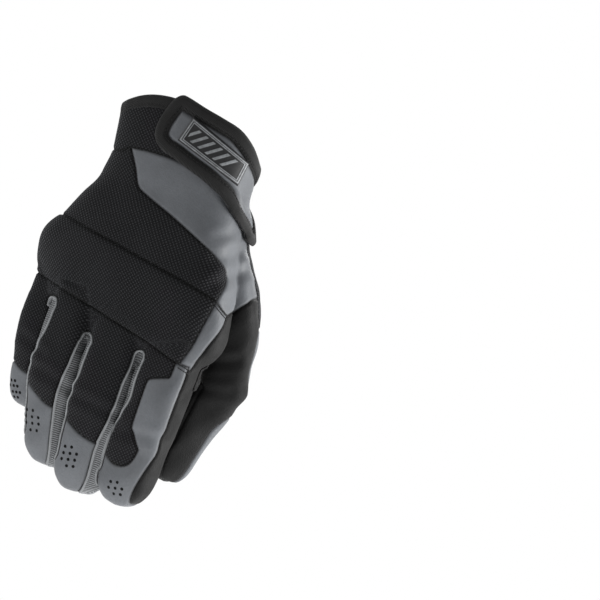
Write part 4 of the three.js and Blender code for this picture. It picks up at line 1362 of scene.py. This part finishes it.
def make_overlay(form):
    """Second leather layer of the palm with its two rows of stitches."""
    surface, _ = main_part(clip(form, Cells(form).overlay()))
    edge = edge_distance(surface)
    top = 0.75 + 1.1 * smoothstep(0, 1.3, edge)
    stitched = np.exp(-((edge - 1.8) / 0.7) ** 2) + np.exp(-((edge - 3.8) / 0.7) ** 2)
    shell("palm_overlay_leather", surface, top - 0.3 * stitched, 0.15, ("palm_overlay",),
          LEATHER)
    raised = surface.with_points(surface.points + surface.values["facing"] * (top - 0.2)[:, None])
    lines = ring_lines(raised, edge, 1.8) + ring_lines(raised, edge, 3.8)
    sewn("palm_overlay_stitches", lines, "leather", THREAD)


def make_pad(form, name, outline):
    """Raised palm pad with a rounded edge."""
    surface, _ = main_part(clip(form, Cells(form).pad(outline)))
    edge = edge_distance(surface)
    top = 2.3 + 2.1 * np.sqrt(np.clip(1 - (1 - np.clip(edge / 3.6, 0, 1)) ** 2, 0, 1))
    made = shell(name + "_leather", surface, top, 1.7, (name,), PAD)


def rim_loop(count=260):
    """Angles round the cuff, with the height of the rim at each."""
    angles = 2 * math.pi * np.arange(count) / count
    heights = np.zeros(count)
    low, high = np.full(count, -30.0), np.full(count, 20.0)
    for _ in range(30):
        heights = (low + high) / 2
        above = rim_field(cuff_spots(angles, heights)) > 0
        high = np.where(above, heights, high)
        low = np.where(above, low, heights)
    return angles, heights


def cuff_spots(angles, heights):
    """Points of the cuff's outer surface at angles and heights."""
    x, y, half_width, half_depth, turn, droop = BODY.section(heights)
    c, s = np.cos(angles), np.sin(angles)
    wide = np.sign(c) * np.abs(c) ** (2 / SQUARENESS) * (half_width + 0.25)
    deep = np.sign(s) * np.abs(s) ** (2 / SQUARENESS) * (half_depth + 0.25)
    deep = deep + droop * np.clip(-wide / half_width, 0, 1.05) ** 2
    return np.column_stack([
        x + wide * np.cos(turn) + deep * np.sin(turn),
        y - wide * np.sin(turn) + deep * np.cos(turn),
        heights,
    ])


def make_cuff_binding():
    """Stretch tape folded over the rim of the cuff."""
    angles, heights = rim_loop()
    # share of the tape from the outer edge over the fold to the inner edge: offset outwards, drop
    profile = [(0.2, 7.6), (1.0, 7.7), (1.45, 7.2), (1.5, 6.3), (1.2, 5.7), (1.55, 5.0), (1.75, 3.6),
               (1.75, 2.0), (1.6, 0.9), (1.1, 0.1), (0.2, -0.5), (-0.9, -0.7), (-2.0, -0.5), (-2.9, 0.1),
               (-3.4, 0.9), (-3.5, 2.0), (-3.5, 3.6), (-3.4, 5.4), (-3.3, 6.6), (-3.0, 7.0), (-2.2, 7.0),
               (-2.1, 6.0), (-2.1, 2.0), (-1.6, 0.7), (-0.6, 0.7), (0.1, 1.6), (0.2, 4.0)]
    rings = []
    for out, drop in profile:
        spots = cuff_spots(angles, heights - drop)
        ahead, behind = np.roll(spots, -1, axis=0), np.roll(spots, 1, axis=0)
        along = ahead - behind
        normal = np.column_stack([along[:, 1], -along[:, 0], np.zeros(len(along))])
        normal /= np.linalg.norm(normal, axis=1)[:, None]
        ripple = 0.12 * np.sin(9 * angles) + 0.1 * np.sin(23 * angles + 1)
        rings.append(spots + normal * (out + ripple * (out > 0.5))[:, None])
    count, layers = len(angles), len(rings)
    faces = []
    for r in range(layers):
        for i in range(count):
            j, after = (i + 1) % count, (r + 1) % layers
            faces.append((r * count + j, r * count + i, after * count + i, after * count + j))
    made = object_of("cuff_binding_tape", np.vstack(rings), faces)
    finish_piece(made, ("cuff_binding",), BINDING)
    spots = rings[4]
    out = rings[4] - rings[20]
    out /= np.linalg.norm(out, axis=1)[:, None]
    line = np.column_stack([spots, out])
    sewn("cuff_binding_stitches", [np.vstack([line, line[:1]])], "binding", THREAD, pitch=2.4, length=1.7)


BACK_TO_PALM = Vector((0, 1, 0))
STRAP_STEP = 0.62
STRAP_TURN = (math.radians(-176), math.radians(52))
STRAP_HEIGHTS = (-67.0, 22.0)
STRAP_AXIS = (2.0, 4.0)
STRAP_RADIUS = 40.0
RAY_START = 110
STRAP_REST = 1.6  # height over the form
STRAP_BRIDGE = 0.2  # share of a hollow of the cuff that the strap spans
STRAP_BORDER = 8.4  # width of its bound edge
TAPE_RISE = 2.9
STITCH_INSET = 6.9


def upper_hull(places, values):
    """Least concave line over values, as taut cloth lies over hollows."""
    kept = [0]
    for i in range(1, len(places)):
        while len(kept) > 1:
            a, b = kept[-2], kept[-1]
            slope = (values[i] - values[a]) / (places[i] - places[a])
            if values[b] > values[a] + slope * (places[b] - places[a]):
                break
            kept.pop()
        kept.append(i)
    return np.interp(places, places[kept], values[kept])


def strap_surface(form):
    """Sheet round the wrist that the strap is cut from, bridging the hollows below it."""
    tree = BVHTree.FromPolygons((form.points).tolist(), form.faces.tolist())
    turns = np.arange(*STRAP_TURN, STRAP_STEP / STRAP_RADIUS)
    heights = np.arange(*STRAP_HEIGHTS, STRAP_STEP)
    spots = np.zeros((len(heights), len(turns), 3))
    for row, height in enumerate(heights):
        for column, turn in enumerate(turns):
            ray = Vector((-math.cos(turn), -math.sin(turn), 0))
            start = Vector((STRAP_AXIS[0], STRAP_AXIS[1], height)) - ray * RAY_START
            hit = tree.ray_cast(start, ray)[0]
            spots[row, column] = hit if hit is not None else start + ray * 70
    taut = smoothstep(math.radians(-80), math.radians(-30), turns)
    for column, share in enumerate(taut):
        if share > 0:
            lifted = spots[:, column, :2] - STRAP_AXIS
            reach = np.linalg.norm(lifted, axis=1)
            bridged = reach + STRAP_BRIDGE * share * (upper_hull(heights, reach) - reach)
            spots[:, column, :2] = STRAP_AXIS + lifted * (bridged / reach)[:, None]
    for _ in range(60):
        spots[1:-1] += 0.5 * ((spots[2:] + spots[:-2]) / 2 - spots[1:-1])
        spots[:, 1:-1] += 0.5 * ((spots[:, 2:] + spots[:, :-2]) / 2 - spots[:, 1:-1])
    a, b, c, d = grid_corners(len(heights), len(turns))
    faces = np.vstack([np.dstack([a, b, c]).reshape(-1, 3), np.dstack([a, c, d]).reshape(-1, 3)])
    points = spots.reshape(-1, 3)
    sheet = Surface(points, faces, {})
    facing = sheet.normals()
    if np.mean(facing[:, 1] * (points[:, 1] < 0)) > 0:
        sheet = Surface(points, faces[:, ::-1].copy(), {})
        facing = sheet.normals()
    sheet.values = {"facing": facing, "base": points, "near": np.full((len(points), 5), 50.0)}
    return sheet


def strap_field(points):
    """Negative inside the strap's outline, seen from the back and then round the thumb side."""
    x, y, z = points.T
    front = outline_field(trace(STRAP), x, z)
    (y0, v0), (y1, v1) = STRAP_SIDE
    y0, y1, z0, z1 = y0 * CUFF_DEPTH, y1 * CUFF_DEPTH, -v0 * PALM_LENGTH, -v1 * PALM_LENGTH
    line = z0 + (z1 - z0) * (y - y0) / (y1 - y0)
    side = np.minimum(y - y0, np.maximum(z - line, y - y1))
    return np.maximum(front, side) + 0.9


def make_strap(form):
    """Grey wrist strap, its padded bound edge and its badge."""
    sheet = strap_surface(form)
    strap, _ = main_part(clip(sheet, strap_field(sheet.points)))
    edge = edge_distance(strap)
    strap.values["inset"] = edge
    binding, _ = main_part(clip(strap, edge - STRAP_BORDER))
    middle, _ = main_part(clip(strap, STRAP_BORDER - edge))
    inset = binding.values["inset"]
    half = STRAP_BORDER / 2
    rounded = TAPE_RISE * (1 - 0.72 * np.abs((inset - half) / half) ** 3.2)
    sewn_in = 0.7 * np.exp(-((inset - STITCH_INSET) / 0.5) ** 2)
    shell("strap_binding_tape", binding, STRAP_REST + rounded - sewn_in, STRAP_REST - 0.15,
          ("strap_binding",), BINDING)
    inner = middle.values["inset"] - STRAP_BORDER
    puffed = 0.9 + 1.3 * smoothstep(0, 2.2, inner)
    shell("wrist_strap_cloth", middle, STRAP_REST + puffed, STRAP_REST, ("wrist_strap",), GREY)
    top = STRAP_REST + TAPE_RISE * 0.85
    raised = binding.with_points(binding.points + binding.values["facing"] * (top - 0.25))
    lines = ring_lines(raised, inset, STITCH_INSET)
    sewn("strap_binding_stitches", lines, "binding", THREAD, pitch=2.4, length=1.7)
    make_badge(strap)


BADGE_GRID = (150, 56)
BADGE_LIFT = 2.2  # over the sheet that the strap rests on
RIB_SLANT = 0.75
RIB_PITCH = 5.2
RIB_END = 7.9  # ribs before the badge's right end
BADGE_FRAME = ((1.5, 0.35), (2.6, 0.25))  # distance from the edge and half width of each frame line


def make_badge(strap):
    """Plain rubber badge with a double frame and a field of fine ribs."""
    lifted = strap.points + strap.values["facing"] * (STRAP_REST + BADGE_LIFT)
    tree = BVHTree.FromPolygons(lifted.tolist(), strap.faces.tolist())
    corners = np.array([(u * PALM_WIDTH, -v * PALM_LENGTH) for u, v in BADGE])
    across, down = BADGE_GRID
    s, t = np.meshgrid(np.linspace(0, 1, across), np.linspace(0, 1, down))
    flat = (
        corners[0] * ((1 - s) * (1 - t))[..., None] + corners[1] * (s * (1 - t))[..., None]
        + corners[2] * (s * t)[..., None] + corners[3] * ((1 - s) * t)[..., None]
    )
    spots = np.zeros((down, across, 3))
    for row in range(down):
        for column in range(across):
            x, z = flat[row, column]
            hit = tree.ray_cast(Vector((x, -120, z)), BACK_TO_PALM)[0]
            spots[row, column] = hit if hit is not None else (x, spots[row, max(column - 1, 0), 1], z)
    for _ in range(25):
        spots[1:-1, :, 1] += 0.5 * ((spots[2:, :, 1] + spots[:-2, :, 1]) / 2 - spots[1:-1, :, 1])
        spots[:, 1:-1, 1] += 0.5 * ((spots[:, 2:, 1] + spots[:, :-2, 1]) / 2 - spots[:, 1:-1, 1])
    width = np.linalg.norm(corners[1] - corners[0])
    height = np.linalg.norm(corners[3] - corners[0])
    inset = np.minimum(np.minimum(s, 1 - s) * width, np.minimum(t, 1 - t) * height)
    body = 1.3 * np.clip(1 - (1 - np.clip(inset / 1.1, 0, 1)) ** 2, 0, 1) ** 0.5 + 0.1
    marks = np.zeros_like(inset)
    for at, half in BADGE_FRAME:
        marks = np.maximum(marks, smoothstep(half + 0.2, half - 0.1, np.abs(inset - at)))
    field = smoothstep(3.9, 4.3, inset)
    turns = (s * width + RIB_SLANT * t * height) / RIB_PITCH
    ribs = smoothstep(0.1, 0.5, np.sin(2 * math.pi * turns)) * field * (turns < RIB_END)
    marks = np.maximum(marks, 0.85 * ribs)
    rise = body + 0.25 * marks
    ahead = np.gradient(spots, axis=1)
    below = np.gradient(spots, axis=0)
    normal = np.cross(ahead, below)
    normal /= np.linalg.norm(normal, axis=2)[..., None]
    if normal[..., 1].mean() > 0:
        normal = -normal
    top = (spots + normal * rise[..., None]).reshape(-1, 3)
    low = (spots - 0.05 * normal).reshape(-1, 3)
    quads = np.dstack(grid_corners(down, across)).reshape(-1, 4)
    total = down * across
    number = np.arange(total).reshape(down, across)
    ring = np.concatenate([number[0, :-1], number[:-1, -1], number[-1, :0:-1], number[:0:-1, 0]])
    walls = [(ring[i], ring[i - 1], ring[i - 1] + total, ring[i] + total) for i in range(len(ring))]
    faces = quads.tolist() + (quads[:, ::-1] + total).tolist() + walls
    made = object_of("strap_badge_rubber", np.vstack([top, low]), faces)
    deselect()
    made.select_set(True)
    bpy.context.view_layer.objects.active = made
    bpy.ops.object.mode_set(mode="EDIT")
    bpy.ops.mesh.select_all(action="SELECT")
    bpy.ops.mesh.normals_make_consistent(inside=False)
    bpy.ops.object.mode_set(mode="OBJECT")
    marks = marks.ravel()
    finish_piece(made, ("strap_badge",), BADGE_RUBBER, np.concatenate([marks, 0 * marks]))


# Small holes in the finger caps: first hole of each row, count of holes and step between them.
PITS = {
    "index": [((26.2, -218.4), 2), ((26.1, -222.2), 3), ((30.3, -224.7), 2)],
    "middle": [((-7.2, -209.0), 2), ((-6.9, -213.0), 3), ((-6.8, -216.8), 3), ((-2.5, -219.7), 2)],
    "ring": [((-37.6, -197.3), 2), ((-36.9, -201.2), 3), ((-35.5, -204.9), 3), ((-31.3, -208.1), 2)],
    "little": [((-54.6, -185.2), 2), ((-54.4, -188.4), 3), ((-51.6, -191.6), 3), ((-49.8, -194.4), 2)],
}
PIT_STEP = (3.95, 1.05)
PIT_STEP_LITTLE = (2.3, 0.5)
PIT_RINGS = ((1.0, -0.3), (1.0, 0.28), (0.85, 0.34), (0.35, 0.22))  # radius and rise


def make_pits(form):
    """Perforations of the finger caps, as small raised near-black cups: painted shade for the dark inside
    of each hole.
    """
    tree = BVHTree.FromPolygons(form.points.tolist(), form.faces.tolist())
    sides = 10
    blocks, faces = [], []
    for name, rows in PITS.items():
        step = PIT_STEP_LITTLE if name == "little" else PIT_STEP
        for (x, z), count in rows:
            for number in range(count):
                spot = Vector((x + number * step[0], -140, z + number * step[1]))
                hit, normal, _, _ = tree.ray_cast(spot, BACK_TO_PALM)
                if hit is None:
                    continue
                turn = normal.to_track_quat("Z", "Y")
                base = len(blocks)
                for radius, rise in PIT_RINGS:
                    for side in range(sides):
                        angle = 2 * math.pi * side / sides
                        at = Vector((radius * math.cos(angle), radius * math.sin(angle), rise))
                        blocks.append(hit + turn @ at)
                faces += tube_faces(len(PIT_RINGS), sides, base)
    made = object_of("cap_perforations", [tuple(spot) for spot in blocks], faces)
    finish_piece(made, (), PIT)


# Double rows that hold the grey strip down: ends of the upper row.
BAR_TACKS = [((49.2, -96.6), (57.9, -102.2)), ((40.8, -138.4), (48.4, -140.1))]


def make_seam_stitches(form):
    """Short double rows of stitches across the grey strip."""
    rows = []
    tree = BVHTree.FromPolygons(form.points.tolist(), form.faces.tolist())
    for (x0, z0), (x1, z1) in BAR_TACKS:
        for row in range(2):
            line = []
            for share in np.linspace(0, 1, 14):
                spot = Vector((x0 + share * (x1 - x0), -140, z0 + share * (z1 - z0) - 2.1 * row))
                hit, normal, _, _ = tree.ray_cast(spot, BACK_TO_PALM)
                if hit is not None:
                    line.append((*hit, *normal))
            rows.append(np.array(line))
    sewn("side_stitches", rows, "grey", THREAD, pitch=1.5, length=1.7, radius=0.3, lift=0.25)


def studio():
    """Pale floor, soft light and the camera."""
    bpy.ops.mesh.primitive_circle_add(vertices=96, radius=1.4, fill_type="NGON", location=(0, 0.1, -0.75))
    floor = bpy.context.object
    floor.name = "floor"
    white = new_material("floor_white", (0.95, 0.95, 0.95), 0.9)
    floor.data.materials.append(white)
    world = bpy.data.worlds.new("studio_white")
    bpy.context.scene.world = world
    world.use_nodes = True
    world.node_tree.nodes["Background"].inputs["Color"].default_value = (1, 1, 1, 1)
    world.node_tree.nodes["Background"].inputs["Strength"].default_value = 1.0
    bpy.context.scene.view_settings.view_transform = "Standard"
    for name, place, aim, size, power in (
        ("low", (-0.08, -0.26, -0.7), (-0.02, 0, -0.15), 0.4, 5.0),
        ("right", (1.25, 0.0, -0.1), (0, 0, -0.1), 0.8, 44.0),
        ("left", (-1.2, -0.1, 0.2), (0, 0, -0.1), 0.7, 8.0),
        ("back", (0.3, 1.2, 0.7), (0, 0, -0.1), 0.8, 14.0),
    ):
        light = bpy.data.lights.new(name, "AREA")
        light.size = size
        light.energy = power
        lamp = bpy.data.objects.new(name, light)
        bpy.context.scene.collection.objects.link(lamp)
        lamp.location = place
        lamp.rotation_euler = (Vector(aim) - Vector(place)).to_track_quat("-Z", "Y").to_euler()
    camera = bpy.data.cameras.new("camera")
    camera.lens, camera.sensor_width = 150, 36
    held = bpy.data.objects.new("camera", camera)
    bpy.context.scene.collection.objects.link(held)
    tilt = math.radians(20)
    right = Vector((math.cos(tilt), 0, math.sin(tilt)))
    up = Vector((-math.sin(tilt), 0, math.cos(tilt)))
    back = right.cross(up)
    held.matrix_world = Matrix.Translation(Vector((0.095, -1.5, -0.0785))) @ Matrix(
        (right, up, back)
    ).transposed().to_4x4()
    bpy.context.scene.camera = held


plain = make_form()
bent = worn(plain)
bent.values["facing"] = bent.with_points(bent.points).normals()
glove = clip(bent, rim_field(bent.values["base"]))
make_panels(glove)
make_overlay(glove)
make_pad(glove, "thenar_pad", THENAR_PAD)
make_pad(glove, "heel_pad", HEEL_PAD)
make_cuff_binding()
make_strap(bent)
make_pits(glove)
make_seam_stitches(glove)
studio()
